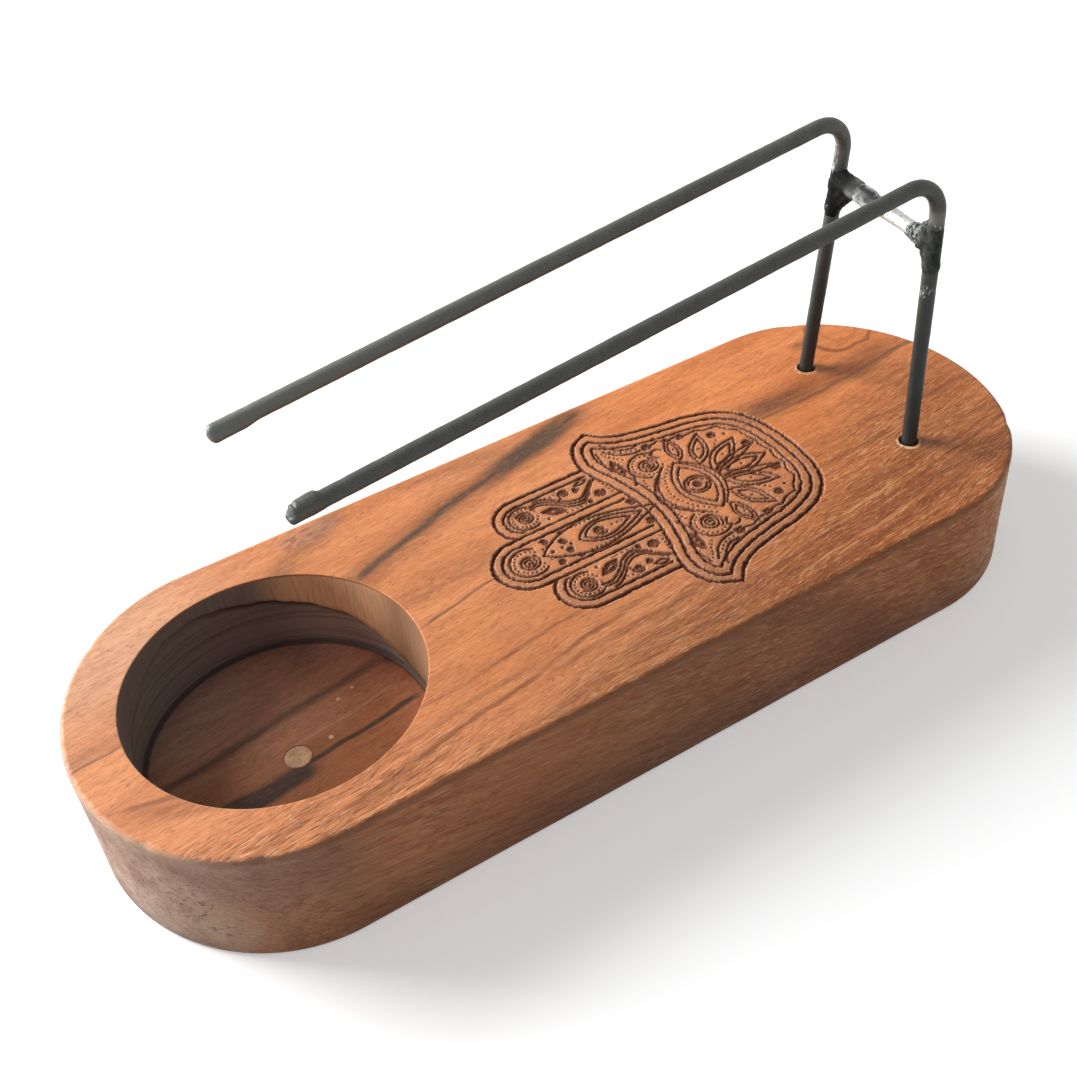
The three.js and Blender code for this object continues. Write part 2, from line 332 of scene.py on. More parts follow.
def palm_motifs():
    """Lines, rows of dots and discs of the palm: an eye, a lotus towards the wrist and scrolls
    by the thumbs."""
    lids = [(0, 6.4, 3.3), (0, 6.4, -3.3), (0, 4.9, -2.4), (0, 4.9, 2.4), (-2.3, 6.3, -3.7),
            (-3.0, 5.6, -3.9), (1.0, 6.0, 3.1)]
    lines = [lens_arc(EYE_X + shift, half_length, rise) for shift, half_length, rise in lids]
    lines += [arc(EYE_X, 0, 2.0, 0, 360), arc(EYE_X, 0, 1.45, 20, 160), arc(EYE_X, 0, 1.45, 200, 340)]
    dots = [spaced(lens_arc(EYE_X - 1.15, 6.0, -3.5), 0.8), spaced(lens_arc(EYE_X - 3.7, 4.2, -3.2), 0.8)]
    middle_petal, middle_dot = petal((27.2, 0), (36.0, 0), 1.9)
    scrolls = [(19.4, 8.2, 0.2, 1.8, 200, 2.6), (35.2, 3.6, 0.15, 0.8, 0, 1.6),
               (31.9, 8.4, 0.15, 0.75, 0, 1.6), (27.7, 11.1, 0.15, 0.7, 0, 1.6),
               (21.9, 12.0, 0.15, 0.8, 0, 1.6)]
    sweeps = [[(20.7, 13.3), (19.2, 13.3), (17.5, 14.4), (16.1, 16.7)],
              [(20.6, 11.9), (18.9, 12.1), (17.0, 13.1), (15.6, 15.1)],
              [(14.2, 10.2), (14.1, 12.6), (14.5, 15.3)],
              [(15.3, 5.2), (16.2, 7.2), (16.0, 9.8)]]
    side_lines = [spiral(*scroll) for scroll in scrolls] + [curve(sweep) for sweep in sweeps]
    side_lines += [arc(19.4, 8.2, 3.0, 40, 250), arc(22.3, 9.7, 1.0, 20, 250)]
    side_lines += leaf((27.4, 0.9), (36.2, 3.3), 0.75, 0.6)
    side_dots = [spaced(arc(19.4, 8.2, 2.4, 30, 330), 0.7)] + dotted([
        (0.7, [(17.0, 11.6), (15.9, 13.1), (15.1, 14.6)]),
        (0.7, [(20.2, 12.6), (18.5, 12.9), (16.6, 14.4)]),
        (0.7, [(16.6, 1.2), (16.4, 3.4), (16.9, 5.4)]),
        (0.75, [(27.2, 8.4), (26.9, 6.6), (26.2, 4.6)]),
        (0.75, [(31.6, 6.9), (29.6, 5.0), (27.8, 3.4)]),
        (0.75, [(33.6, 4.4), (31.0, 2.7), (28.8, 1.6)]),
    ])
    side_discs = [(24.0, 13.1, 0.3), (33.6, 7.6, 0.26), (30.0, 10.9, 0.24), (36.6, 1.9, 0.24)]
    for start, end, half_width in [((27.0, 1.4), (34.2, 6.0), 1.7), ((26.3, 3.8), (30.2, 10.2), 1.5),
                                   ((24.4, 6.3), (25.4, 12.2), 1.2), ((15.3, 8.4), (15.3, 12.4), 0.75)]:
        outlines, dot = petal(start, end, half_width)
        side_lines += outlines
        side_discs.append(dot)
    lines += middle_petal + mirrored(side_lines)
    return lines, dots + mirrored(side_dots), [(EYE_X, 0, 0.7), middle_dot] + mirrored(side_discs)


def finger_motifs():
    """Lines, rows of dots and discs of the three fingers: rosettes in drops, petals and
    scrolling vines. One small scroll of the side fingers isn't mirrored, only turned back."""
    y = SIDE_FINGER[2]
    lines = [spiral(-7.0, 0, 0.2, 1.7, 180, 2.6), spiral(5.2, 0, 0.15, 1.05, 0, 1.9)]
    lines += [arc(-7.0, 0, 2.95, 50, 310)]
    lines += leaf((-4.6, 0), (15.2, 0), 3.35, 0.8) + leaf((1.6, 0), (12.6, 0), 2.3, 0.75)
    lines += leaf((2.6, 0), (10.6, 0), 1.7, 0.75)
    lines += [spiral(7.2, side * (y + 1.1), 0.12, 0.55, 90, side * 1.4) for side in (1, -1)]
    dots = [spaced(arc(-7.0, 0, 2.3, 40, 320), 0.7)] + dotted([(0.75, [(7.4, 0), (9.0, 0), (11.4, 0)])])
    discs = [(-3.0, 0, 0.3), (-1.5, 0, 0.24), (0.1, 0, 0.24)]
    scrolls = [(-0.6, 1.2, 0.12, 0.62, 180, 1.4), (-3.0, 2.5, 0.12, 0.62, 0, 1.4),
               (12.4, 2.5, 0.12, 0.7, 0, 1.4), (0.0, 2.95, 0.1, 0.4, 0, 1.2), (-2.5, y, 0.2, 1.45, 0, 2.4),
               (5.2, y + 1.5, 0.12, 0.9, 270, 1.8), (9.8, y - 1.5, 0.12, 0.95, 90, 1.8),
               (7.6, y - 2.4, 0.1, 0.42, 0, 1.2)]
    vine = curve([(-0.75, y + 1.8), (1.0, y + 1.9), (3.0, y + 0.6), (4.6, y - 1.0), (6.8, y - 1.5),
                  (8.9, y + 0.1), (10.8, y + 1.8)])
    side_lines = [vine, vine[6:-4] + (0.1, 0.62), vine[:-10] - (0.2, 0.6), arc(-2.5, y, 2.55, 55, 300)]
    side_lines += [spiral(*scroll) for scroll in scrolls]
    side_lines += leaf((0.3, y - 0.3), (3.6, y - 2.0), 0.75) + leaf((0.9, y - 0.62), (3.0, y - 1.7), 0.35)
    side_lines += leaf((7.6, y + 2.0), (9.8, y + 2.4), 0.4)
    side_dots = [spaced(arc(-2.5, y, 2.0, 20, 340), 0.62)] + dotted([
        (0.7, [(3.4, y - 2.6), (5.2, y - 2.7), (6.8, y - 2.5)]),
        (0.7, [(1.0, y + 2.6), (3.2, y + 1.9), (4.2, y + 2.6)]),
        (0.7, [(-4.0, 1.3), (-2.2, 1.6), (-1.4, 2.2)]),
        (0.75, [(2.0, 2.9), (6.0, 2.85), (10.6, 2.0)]),
        (0.65, [(11.2, y + 0.6), (11.5, y - 1.0), (11.6, y - 2.4)]),
    ])
    side_discs = [(0.3, y - 2.2, 0.24), (4.2, y + 0.7, 0.2), (12.0, 1.0, 0.2)]
    return lines + mirrored(side_lines), dots + mirrored(side_dots), discs + mirrored(side_discs)


def capsule_distance(x, y, start, end, centre_y, radius):
    """Distance to a rounded bar along X, negative inside it."""
    beyond = x - np.clip(x, start, end)
    return np.hypot(beyond, y - centre_y) - radius


def polygon_distance(x, y, corners):
    """Distance to a closed outline, negative inside it: the least distance to its sides, signed
    by how often a level ray from the point crosses them."""
    nearest = np.full(x.shape, np.inf)
    inside = np.zeros(x.shape, bool)
    for (ax, ay), (bx, by) in zip(corners, np.roll(corners, -1, axis=0)):
        dx, dy = bx - ax, by - ay
        share = np.clip(((x - ax) * dx + (y - ay) * dy) / (dx * dx + dy * dy), 0, 1)
        nearest = np.minimum(nearest, (x - ax - share * dx) ** 2 + (y - ay - share * dy) ** 2)
        if dy:
            crosses = (ay > y) != (by > y)
            inside ^= crosses & (x < ax + (y - ay) * dx / dy)
    return np.where(inside, -1, 1) * np.sqrt(nearest)


def carve_line(field, xs, ys, line, half_width):
    """Raises the field along a line to 1 minus the square of distance over half width."""
    low, high = line.min(0) - 2 * half_width, line.max(0) + 2 * half_width
    i = slice(*np.searchsorted(xs, (low[0], high[0])))
    j = slice(*np.searchsorted(ys, (low[1], high[1])))
    start, along = line[:-1], np.diff(line, axis=0)
    gx = xs[i, None, None] - start[:, 0]
    gy = ys[None, j, None] - start[:, 1]
    size = np.maximum((along ** 2).sum(1), 1e-9)
    share = np.clip((gx * along[:, 0] + gy * along[:, 1]) / size, 0, 1)
    near = ((gx - share * along[:, 0]) ** 2 + (gy - share * along[:, 1]) ** 2).min(2)
    field[i, j] = np.maximum(field[i, j], 1 - near / half_width ** 2)


def blurred(field, rounds, axes=(0, 1)):
    """The field averaged with its neighbours along its axes, a number of times."""
    for _ in range(rounds):
        for axis in axes:
            field = (np.roll(field, 1, axis) + 2 * field + np.roll(field, -1, axis)) / 4
    return field


def hamsa_field(xs, ys):
    """Share of the full groove depth at each grid point, how charred it is, how strongly a pale
    fringe is laid beside a groove, partly fuzz of cut fibres and partly painted highlight on its
    edge, and the distance to the hand's outline. The tool marks run along X: each row of the grid
    is shifted by its own slowly changing amount, so lines that cross the rows get ragged sides."""
    x, y = np.meshgrid(xs, ys - AXIS_Y, indexing="ij")
    half = np.vstack([curve(PALM_EDGE)[:-1], curve(WRIST_EDGE)])
    palm = polygon_distance(x, y, np.vstack([half, half[-2:0:-1] * (1, -1)]))
    middle = capsule_distance(x, y, *MIDDLE_FINGER)
    sides = capsule_distance(x, np.abs(y), *SIDE_FINGER)
    hand = np.minimum(np.minimum(middle, sides), palm)
    wobble = blurred(np.random.default_rng(4).standard_normal(x.shape), 6) * CONTOUR_WOBBLE

    def contour(distance, inset, half_width, *outside):
        """A groove along the line at an inset inside a form, kept off the forms that cover it."""
        share = 1 - ((distance + inset + wobble) / half_width) ** 2
        for other in outside:
            share = np.where(other > inset * 0.45, share, OFF_LINE)
        return share

    scallops = 3.75 + 0.5 * np.abs(np.sin(12 * np.arctan2(y, x - 24)))
    contours = np.maximum.reduce([
        contour(hand, 0, 0.34),
        contour(middle, 0, 0.24, palm),
        contour(sides, 0, 0.24, middle, palm),
        contour(middle, 1.5, 0.27, palm),
        contour(sides, 1.5, 0.27, middle, palm),
        contour(palm, 0, 0.27),
        contour(palm, 1.6, 0.31),
        contour(palm, 3.1, 0.26),
        np.where(x > 21.5, contour(palm, scallops, 0.2), OFF_LINE),
    ])
    strokes = []
    for lines, dots, discs in (palm_motifs(), finger_motifs()):
        strokes += [(line, LINE_HALF_WIDTH) for line in lines]
        strokes += [(np.array([dot, dot]), DOT_RADIUS) for row in dots for dot in row]
        strokes += [(np.array([(dx, dy), (dx, dy)]), 1.3 * radius) for dx, dy, radius in discs]
    motifs = np.full_like(contours, OFF_LINE)
    for stroke, half_width in strokes:
        carve_line(motifs, xs, ys - AXIS_Y, stroke, half_width)
    rough = np.random.default_rng(9).standard_normal(x.shape)
    shift = blurred(rough, 10, axes=(0,))
    row = np.arange(len(xs))[:, None] + np.clip(shift * RAGGED, -2, 2)
    low = np.clip(np.floor(row).astype(int), 0, len(xs) - 2)
    rough = blurred(rough, 1)
    share, charred, pale_fuzz_and_highlight = np.zeros_like(x), np.zeros_like(x), np.zeros_like(x)
    for drawn, strength in ((contours, 1.0), (motifs, MOTIF_STRENGTH)):
        drawn = np.maximum(drawn, OFF_LINE)
        drawn = (np.take_along_axis(drawn, low, 0) * (1 - row + low)
                 + np.take_along_axis(drawn, low + 1, 0) * (row - low))
        share = np.maximum(share, strength * np.clip(drawn + 0.1 * rough, 0, 1))
        charred = np.maximum(charred, strength * smooth_step(0.0, 0.65, drawn + 0.2 * rough))
        # Pale fringe beside each groove: fuzz of cut fibres and a painted highlight on its edge
        pale_fuzz_and_highlight = np.maximum(pale_fuzz_and_highlight, strength * bell(drawn, -0.75, 0.8))
    return share, charred, pale_fuzz_and_highlight, hand


def engraved_patch(settings):
    """The fine grid that carries the engraving: cells near the hand, with the groove depth taken
    off the deck's height. Also gives the grid's edge for the flat deck to join."""
    step = settings.groove_grid / MM
    xs, ys = np.arange(*ENGRAVED_X, step), np.arange(*ENGRAVED_Y, step)
    share, charred, pale_fuzz_and_highlight, hand = hamsa_field(xs, ys)
    depth = settings.groove_depth / MM * share ** GROOVE_FULLNESS
    x, y = np.meshgrid(xs, ys, indexing="ij")
    points = np.stack([x, y, TOP - depth], -1).reshape(-1, 3)
    near = hand < GRID_MARGIN
    cells = near[:-1, :-1] & near[1:, :-1] & near[:-1, 1:] & near[1:, 1:]
    number = np.arange(x.size).reshape(x.shape)
    quads = np.stack([number[:-1, :-1], number[1:, :-1], number[1:, 1:], number[:-1, 1:]], -1)[cells]
    padded = np.pad(cells, 1)
    lengthwise = padded[1:-1, 1:] != padded[1:-1, :-1]
    crosswise = padded[1:, 1:-1] != padded[:-1, 1:-1]
    edges = np.vstack([
        np.stack([number[:-1], number[1:]], -1)[lengthwise],
        np.stack([number[:, :-1], number[:, 1:]], -1)[crosswise],
    ])
    used, quads = np.unique(quads, return_inverse=True)
    spots = np.searchsorted(used, edges)
    burn = (charred * smooth_step(0.8, 0.5, hand)).ravel()[used]
    haze = (np.clip(2.6 * blurred(charred, 14), 0, 1) * smooth_step(0.5, 0.05, hand)).ravel()[used]
    marks = {"burn": burn, "haze": haze, "pale_fuzz_and_highlight": pale_fuzz_and_highlight.ravel()[used]}
    return points[used], quads.reshape(-1, 4), spots, marks


# ---- Block ----------------------------------------------------------------------------------

BOWL_AROUND = 256
MARGIN = 0.12  # width of the flat strip beside a rounded edge, which keeps its shading off the flat
BOWL_RIM, BOWL_CORNER = 0.16, 0.08  # radii of the bowl's rounded rim and of its floor's corner
HOLE_AROUND = 40
PLUG_AROUND = 64
HOLES = np.array([(55.4, 13.6), (55.4, -11.0)])
HOLE_FLOOR = 6.5
PLUG_HOLE_FLOOR = 2.5
PLUG_GAP = 0.04
HOLE_EASE, PLUG_HOLE_EASE = 0.18, 0.05  # radii of the holes' eased mouths
DRAWN_IN = 0.16  # how far sanding has drawn the sides in at most
# Depth of the smooth band's lower edge on the bowl's wall, by angle from +X in degrees
BAND_ANGLES = [0, 3, 8, 15, 25, 34, 42, 54, 66, 82, 98, 118, 133, 139, 165, 190, 230, 300, 360]
BAND_DEPTHS = [15.3, 14.7, 13.1, 12.2, 10.3, 8.4, 7.15, 5.95, 5.1, 3.9, 2.55, 2.7, 4.2, 6, 9, 12, 15, 16,
               15.3]
# Small dents on the sanded top edge: x, y, reach along the edge, depth
DENTS = [(-60.2, -25.6, 0.9, 0.5), (-52.0, -27.9, 1.1, 0.3), (-36.0, -28.0, 1.6, 0.22),
         (-71.8, -15.6, 0.8, 0.35), (4.0, -28.0, 1.8, 0.22), (38.0, -28.0, 1.4, 0.25),
         (71.0, -16.5, 1.3, 0.3), (61.5, 25.2, 1.6, 0.25), (-66.5, 21.8, 1.0, 0.2)]


def block_outline(settings):
    """The block's plan, anticlockwise, with the outward normal at each point: straight sides
    and half-elliptical ends."""
    reach = settings.end_rounding / MM
    straight = HALF_LENGTH - reach
    run = np.linspace(-straight, straight, 68)[:-1]
    turn = np.linspace(-math.pi / 2, math.pi / 2, 113)[:-1]
    end = np.stack([straight + reach * np.cos(turn), HALF_WIDTH * np.sin(turn)], -1)
    end_normal = np.stack([np.cos(turn) / reach, np.sin(turn) / HALF_WIDTH], -1)
    side = np.stack([run, np.full_like(run, -HALF_WIDTH)], -1)
    side_normal = np.tile([0.0, -1.0], (len(run), 1))
    points = np.vstack([side, end, -side, -end])
    normals = np.vstack([side_normal, end_normal, -side_normal, -end_normal])
    return points, normals / np.hypot(*normals.T)[:, None]


def block_sides(settings):
    """Rings from the bottom face over the eased edges to the deck. Each ring is the outline
    moved in; the wall between the edges is drawn in by a fraction of a millimetre in slow
    waves, as sanding leaves it, and the top edge has a few dents."""
    outline, normal = block_outline(settings)
    ease = settings.edge_ease / MM
    quarter = np.radians(np.linspace(0, 90, 6))
    near, far = ease * (1 - np.sin(quarter)), ease * (1 - np.cos(quarter))
    wall = np.concatenate([[ease + MARGIN], np.linspace(ease, TOP - ease, 9)[1:-1], [TOP - ease - MARGIN]])
    inset = np.concatenate([[ease + MARGIN], near, np.zeros(len(wall)), far, [ease + MARGIN]])
    height = np.concatenate([[0], far, wall, TOP - near, [TOP]])
    angle = np.arctan2(outline[:, 1], outline[:, 0])
    level = height[:, None] / TOP
    waves = 0.5 + 0.25 * np.sin(7 * angle + 3 * level) + 0.25 * np.sin(13 * angle - 5 * level + 1)
    draw_in = DRAWN_IN * waves * np.sin(math.pi * level) ** 0.5
    nick = np.zeros((len(height), len(outline)))
    for x, y, reach, depth in DENTS:
        away = ((outline[:, 0] - x) ** 2 + (outline[:, 1] - y) ** 2) / reach ** 2
        nick += depth * np.exp(-away) * smooth_step(TOP - 2.4 * ease, TOP, height)[:, None]
    plan = outline - normal * (inset[:, None] + draw_in + nick)[..., None]
    rings = np.concatenate([plan, np.broadcast_to(height[:, None, None], (*plan.shape[:2], 1))], -1)
    below, above = TOP - 1.6 * ease, TOP - 0.4 * ease
    edge = smooth_step(below, above, height) - smooth_step(above, TOP, height)
    return rings, np.repeat(edge, len(outline))


def bowl_rings(settings):
    """Rings down the bowl's wall. The rim is rounded over, the smooth band goes down to its
    uneven lower edge, the wall below it lies a little further back, and a small radius runs
    into the floor."""
    radius, step = settings.bowl_radius / MM, settings.band_step / MM
    angle = np.linspace(0, 2 * math.pi, BOWL_AROUND, endpoint=False)
    tremble = 0.12 * np.sin(9 * angle) + 0.1 * np.sin(23 * angle + 1) + 0.06 * np.sin(51 * angle)
    lowest = TOP - FLOOR - BOWL_CORNER
    band = np.minimum(np.interp(np.degrees(angle), BAND_ANGLES, BAND_DEPTHS) + tremble, lowest - 0.5)
    under = band + 0.12
    quarter = np.radians(np.linspace(0, 90, 5))
    # Each row: depth below the deck, distance behind the smooth band's wall, value of the band mark
    rows = [(0, BOWL_RIM + MARGIN, 1)]
    rows += [(BOWL_RIM * (1 - math.cos(turn)), BOWL_RIM * (1 - math.sin(turn)), 1) for turn in quarter]
    rows += [(BOWL_RIM + (band - BOWL_RIM) * share, 0, 1) for share in np.linspace(0, 1, 9)[1:]]
    rows += [(under + (lowest - under) * share, step, 0 if share else 0.5)
             for share in np.linspace(0, 1, 8)]
    rows += [(lowest + BOWL_CORNER * math.sin(turn), step - (BOWL_CORNER + step) * (1 - math.cos(turn)), 0)
             for turn in quarter[1:]]
    rows.append((rows[-1][0], rows[-1][1] - MARGIN, 0))
    depth, reach, marks = (np.array([np.broadcast_to(value, angle.shape) for value in column])
                           for column in zip(*rows))
    reach = radius + reach
    rings = np.stack([BOWL[0] + reach * np.cos(angle), BOWL[1] + reach * np.sin(angle), TOP - depth], -1)
    rings[-2:, :, 2] = FLOOR
    return rings, marks.ravel().astype(float)


def bored_hole(centre, radius, mouth, floor, ease, around):
    """Rings of a straight hole with an eased mouth, from the face that it opens to its floor."""
    turn = np.radians([0, 30, 60, 90])
    depth = np.concatenate([[0], ease * (1 - np.cos(turn)), np.linspace(ease, mouth - floor, 6)[1:]])
    beyond = np.concatenate([[ease + MARGIN], ease * (1 - np.sin(turn)), np.zeros(5)])
    return np.stack([circle(centre, radius + r, mouth - d, around) for r, d in zip(beyond, depth)])


def flat_fill(loops, height, extra=None, covered=None):
    """A level face between closed loops of points: the first bounds it and the rest are holes.
    Extra points with edges are kept too, and covered tells which places they already fill."""
    points = np.vstack([loop[:, :2] for loop in loops] + ([extra[0][:, :2]] if extra else []))
    edges, start = [], 0
    for loop in loops:
        here = np.arange(len(loop))
        edges.append(np.stack([here, (here + 1) % len(loop)], -1) + start)
        start += len(loop)
    if extra:
        edges.append(extra[1] + start)
    filled = delaunay_2d_cdt(points.tolist(), np.vstack(edges).tolist(), [], 0, 1e-6)
    if len(filled[0]) != len(points):
        raise RuntimeError("the outlines of a flat face cross or touch")
    triangles = np.array(filled[2])
    a, b, c = points[triangles].transpose(1, 0, 2)
    area = (b[:, 0] - a[:, 0]) * (c[:, 1] - a[:, 1]) - (b[:, 1] - a[:, 1]) * (c[:, 0] - a[:, 0])
    middle = (a + b + c) / 3
    kept = polygon_distance(*middle.T, loops[0][:, :2]) < 0
    for hole in loops[1:]:
        kept &= polygon_distance(*middle.T, hole[:, :2]) > 0
    if covered:
        kept &= ~covered(middle)
    triangles = np.where(area[:, None] > 0, triangles, triangles[:, ::-1])[kept]
    return np.column_stack([points, np.full(len(points), height)]), triangles


def block_patches(settings):
    """Every patch of the block's closed surface, with its point marks."""
    sides, edge = block_sides(settings)
    bowl, band = bowl_rings(settings)
    radius = settings.hole_radius / MM
    holes = [bored_hole(hole, radius, TOP, HOLE_FLOOR, HOLE_EASE, HOLE_AROUND) for hole in HOLES]
    radius = PLUG_RADIUS + PLUG_GAP
    plug_hole = bored_hole(PLUG, radius, FLOOR, PLUG_HOLE_FLOOR, PLUG_HOLE_EASE, PLUG_AROUND)
    carved, quads, rim, carved_marks = engraved_patch(settings)
    border, rim = np.unique(rim, return_inverse=True)
    cells = carved[quads].mean(1)[:, :2]
    low = cells.min(0)
    step = settings.groove_grid / MM
    grid = np.zeros(np.ceil((cells.max(0) - low) / step).astype(int) + 2, bool)
    grid[tuple(np.round((cells - low) / step).astype(int).T)] = True

    def in_engraving(places):
        """Whether each place lies on a cell of the engraved patch."""
        cell = np.clip(np.round((places - low) / step).astype(int), -1, np.array(grid.shape) - 1)
        return grid[tuple(cell.T)] & (cell >= 0).all(1)

    deck = flat_fill([sides[-1], bowl[0], holes[0][0], holes[1][0]], TOP,
                     (carved[border], rim.reshape(-1, 2)), in_engraving)
    floor = flat_fill([bowl[-1], plug_hole[0]], FLOOR)
    patches = [skin(sides), (carved, quads), deck, skin(bowl), floor, skin(plug_hole)]
    patches += [skin(hole) for hole in holes]
    patches.append(fan(sides[0], (0, 0, 0), upward=False))
    patches.append(fan(plug_hole[-1], (*PLUG, PLUG_HOLE_FLOOR), upward=True))
    patches += [fan(hole[-1], (*centre, HOLE_FLOOR), upward=True) for hole, centre in zip(holes, HOLES)]
    sizes = [len(patch[0]) for patch in patches]

    def mark(patch, values):
        """Point values for one patch, and none for the others."""
        whole = [np.zeros(size) for size in sizes]
        whole[patch] = values
        return np.concatenate(whole)

    rim_edge = np.zeros((len(bowl), BOWL_AROUND))
    rim_edge[2:5] = 1
    marks = {
        "edge": mark(0, edge) + mark(3, rim_edge.ravel()),
        "band": mark(3, band),
    }
    marks.update({name: mark(1, values) for name, values in carved_marks.items()})
    return patches, marks


# ---- Wires ----------------------------------------------------------------------------------

LEG_X = 55.4
LEAN_IN, LEAN_BACK, RAIL_SWING = np.radians([3.4, 3.15, 0.4])
FOOT_BEND = (8.0, 0.6)  # radius of the slight set above the deck, and its height
BAR_DROP = 10.35
TIP_DRAWN_OUT = 0.4  # how far hammering has lengthened each rail
LINE_STEP = 0.8  # between the rings of a wire
TIP_REACH, TIP_STEP = 8.5, 0.13  # the last stretch of a rail and the step between its rings
WIRE_AROUND = 40
GROUND_SIDE = (-0.62, -0.3, 0.72)  # the way that the ground and wiped metal faces


def wire_corners(leg_y, leg_height, rail_length, rail_fall):
    """Corners of one wire's centre line: foot, deck, bend and tip."""
    inward = -np.sign(leg_y - HOLES[:, 1].mean())
    lean = np.array([math.tan(LEAN_BACK), inward * math.tan(LEAN_IN), 1.0])
    fall = math.radians(rail_fall)
    along = np.array([-math.cos(fall) * math.cos(RAIL_SWING), -math.cos(fall) * math.sin(RAIL_SWING),
                      -math.sin(fall)])
    foot = np.array([LEG_X, leg_y, HOLE_FLOOR])
    deck = np.array([LEG_X, leg_y, TOP + FOOT_BEND[1]])
    corner = deck + lean * (leg_height - FOOT_BEND[1])
    return foot, deck, corner, corner + along * rail_length


LEFT_WIRE = wire_corners(HOLES[0, 1], 45.1, 102.7, 6.05)
RIGHT_WIRE = wire_corners(HOLES[1, 1], 43.25, 100.4, 5.65)


def bar_joint(wire):
    """Where the cross bar's centre line meets a leg."""
    _, deck, corner, _ = wire
    lean = (corner - deck) / (corner - deck)[2]
    return corner - lean * BAR_DROP


def bent_line(corners, radii, step):
    """Centre line through corners, each rounded by an arc of its radius, with a point about
    every step. An arc starts at radius times the tangent of half the turn before its corner."""
    line = [corners[0][None]]
    for before, corner, after, radius in zip(corners, corners[1:], corners[2:], radii):
        inward = (corner - before) / np.linalg.norm(corner - before)
        outward = (after - corner) / np.linalg.norm(after - corner)
        turn = math.acos(inward @ outward)
        start = corner - inward * radius * math.tan(turn / 2)
        to_centre = outward - inward * (inward @ outward)
        to_centre /= np.linalg.norm(to_centre)
        angle = np.linspace(0, turn, max(4, int(radius * turn / (0.5 * step))))[:, None]
        arc_points = start + radius * (inward * np.sin(angle) + to_centre * (1 - np.cos(angle)))
        straight = np.linalg.norm(start - line[-1][-1])
        share = np.linspace(0, 1, max(2, int(straight / step)), endpoint=False)[1:, None]
        line += [line[-1][-1] + (start - line[-1][-1]) * share, arc_points]
    last = line[-1][-1]
    straight = np.linalg.norm(corners[-1] - last)
    share = np.linspace(0, 1, int(straight / step) + 1)[1:, None]
    return np.vstack(line + [last + (corners[-1] - last) * share])


def travelled(line):
    """Distance along a line at each of its points."""
    return np.concatenate([[0], np.cumsum(np.linalg.norm(np.diff(line, axis=0), axis=1))])


def refined_end(line, reach, step):
    """The same line with closer points over the last stretch."""
    place = travelled(line)
    near = np.arange(place[-1] - reach, place[-1], step)
    kept = np.concatenate([place[place < place[-1] - reach - step], near, place[-1:]])
    return np.stack([np.interp(kept, place, line[:, axis]) for axis in range(3)], -1)


def tube(line, radius, sideways):
    """Rings about a centre line. Radius is an array (points, around); angle 0 lies sideways and
    a quarter turn on lies square to it, up for a level line along -X."""
    heading = np.gradient(line, axis=0)
    heading /= np.linalg.norm(heading, axis=1, keepdims=True)
    upright = np.cross(sideways, heading)
    upright /= np.linalg.norm(upright, axis=1, keepdims=True)
    level = np.cross(upright, heading)
    angle = np.linspace(0, 2 * math.pi, radius.shape[1], endpoint=False)[:, None]
    out = level[:, None] * np.cos(angle) + upright[:, None] * np.sin(angle)
    return line[:, None] + radius[..., None] * out


def scale_ripple(place, angle, seed):
    """Small uneven swellings of drawn and hammered wire: a sum of slow waves along and round it."""
    phases = np.random.default_rng(seed).uniform(0, 2 * math.pi, (6, 2))
    pitches = [31.0, 17.0, 9.3, 5.1, 2.9, 1.7]
    ripple = np.zeros((len(place), len(angle)))
    for turns, (pitch, (p, q)) in enumerate(zip(pitches, phases)):
        ripple += np.sin(2 * math.pi * place[:, None] / pitch + p + np.sin(turns * angle[None] + q))
    return ripple


def bell(value, centre, reach):
    """A smooth bump of height 1."""
    return np.exp(-((value - centre) / reach) ** 2)


def wire_patches(corners, settings, right):
    """One bent wire from its cropped foot to its tip. The left tip is fuller underneath and
    rounded; the right one is hammered up on top and ends in a notch over a lip."""
    radius = settings.wire_radius / MM
    rail = corners[-1] - corners[-2]
    corners = np.vstack([corners[:-1], corners[-1] + rail / np.linalg.norm(rail) * TIP_DRAWN_OUT])
    line = bent_line(corners, (FOOT_BEND[0], settings.bend_radius / MM), LINE_STEP)
    line = refined_end(line, TIP_REACH, TIP_STEP)
    place = travelled(line)
    to_end = (place[-1] - place)[:, None]
    angle = np.linspace(0, 2 * math.pi, WIRE_AROUND, endpoint=False)
    top = np.sin(angle)[None]
    girth = radius * np.ones((len(line), WIRE_AROUND)) + 0.007 * scale_ripple(place, angle, 3 + right)
    if right:
        swell = smooth_step(4.9, 4.0, to_end) * (0.62 + 0.38 * smooth_step(0.6, 3.6, to_end))
        girth += 0.4 * swell * smooth_step(-0.3, 0.8, top) + 0.1 * swell * smooth_step(0.2, 1, -top)
        girth -= 0.32 * bell(to_end, 0.75, 0.3) * bell(angle[None], math.radians(110), 0.7)
    else:
        girth += 0.27 * smooth_step(7.0, 4.8, to_end) * smooth_step(-0.35, 0.8, -top)
    inside = np.clip(1 - to_end / (0.7 if right else 1.05), 0, 1)
    girth *= np.sqrt(np.clip(1 - inside ** 2.4, 0, 1))
    rings = tube(line, girth, (0.0, 1.0, 0.0))[:-1]
    tip = line[-1]
    if right:
        heading = (line[-1] - line[-2]) / np.linalg.norm(line[-1] - line[-2])
        held_back = smooth_step(2.6, 0.1, to_end[:-1]) * smooth_step(-0.35, 0.5, top)
        rings -= heading * (0.6 * held_back)[..., None]
        tip = rings[-1].mean(0)
    return closed(rings, tip, line[0])


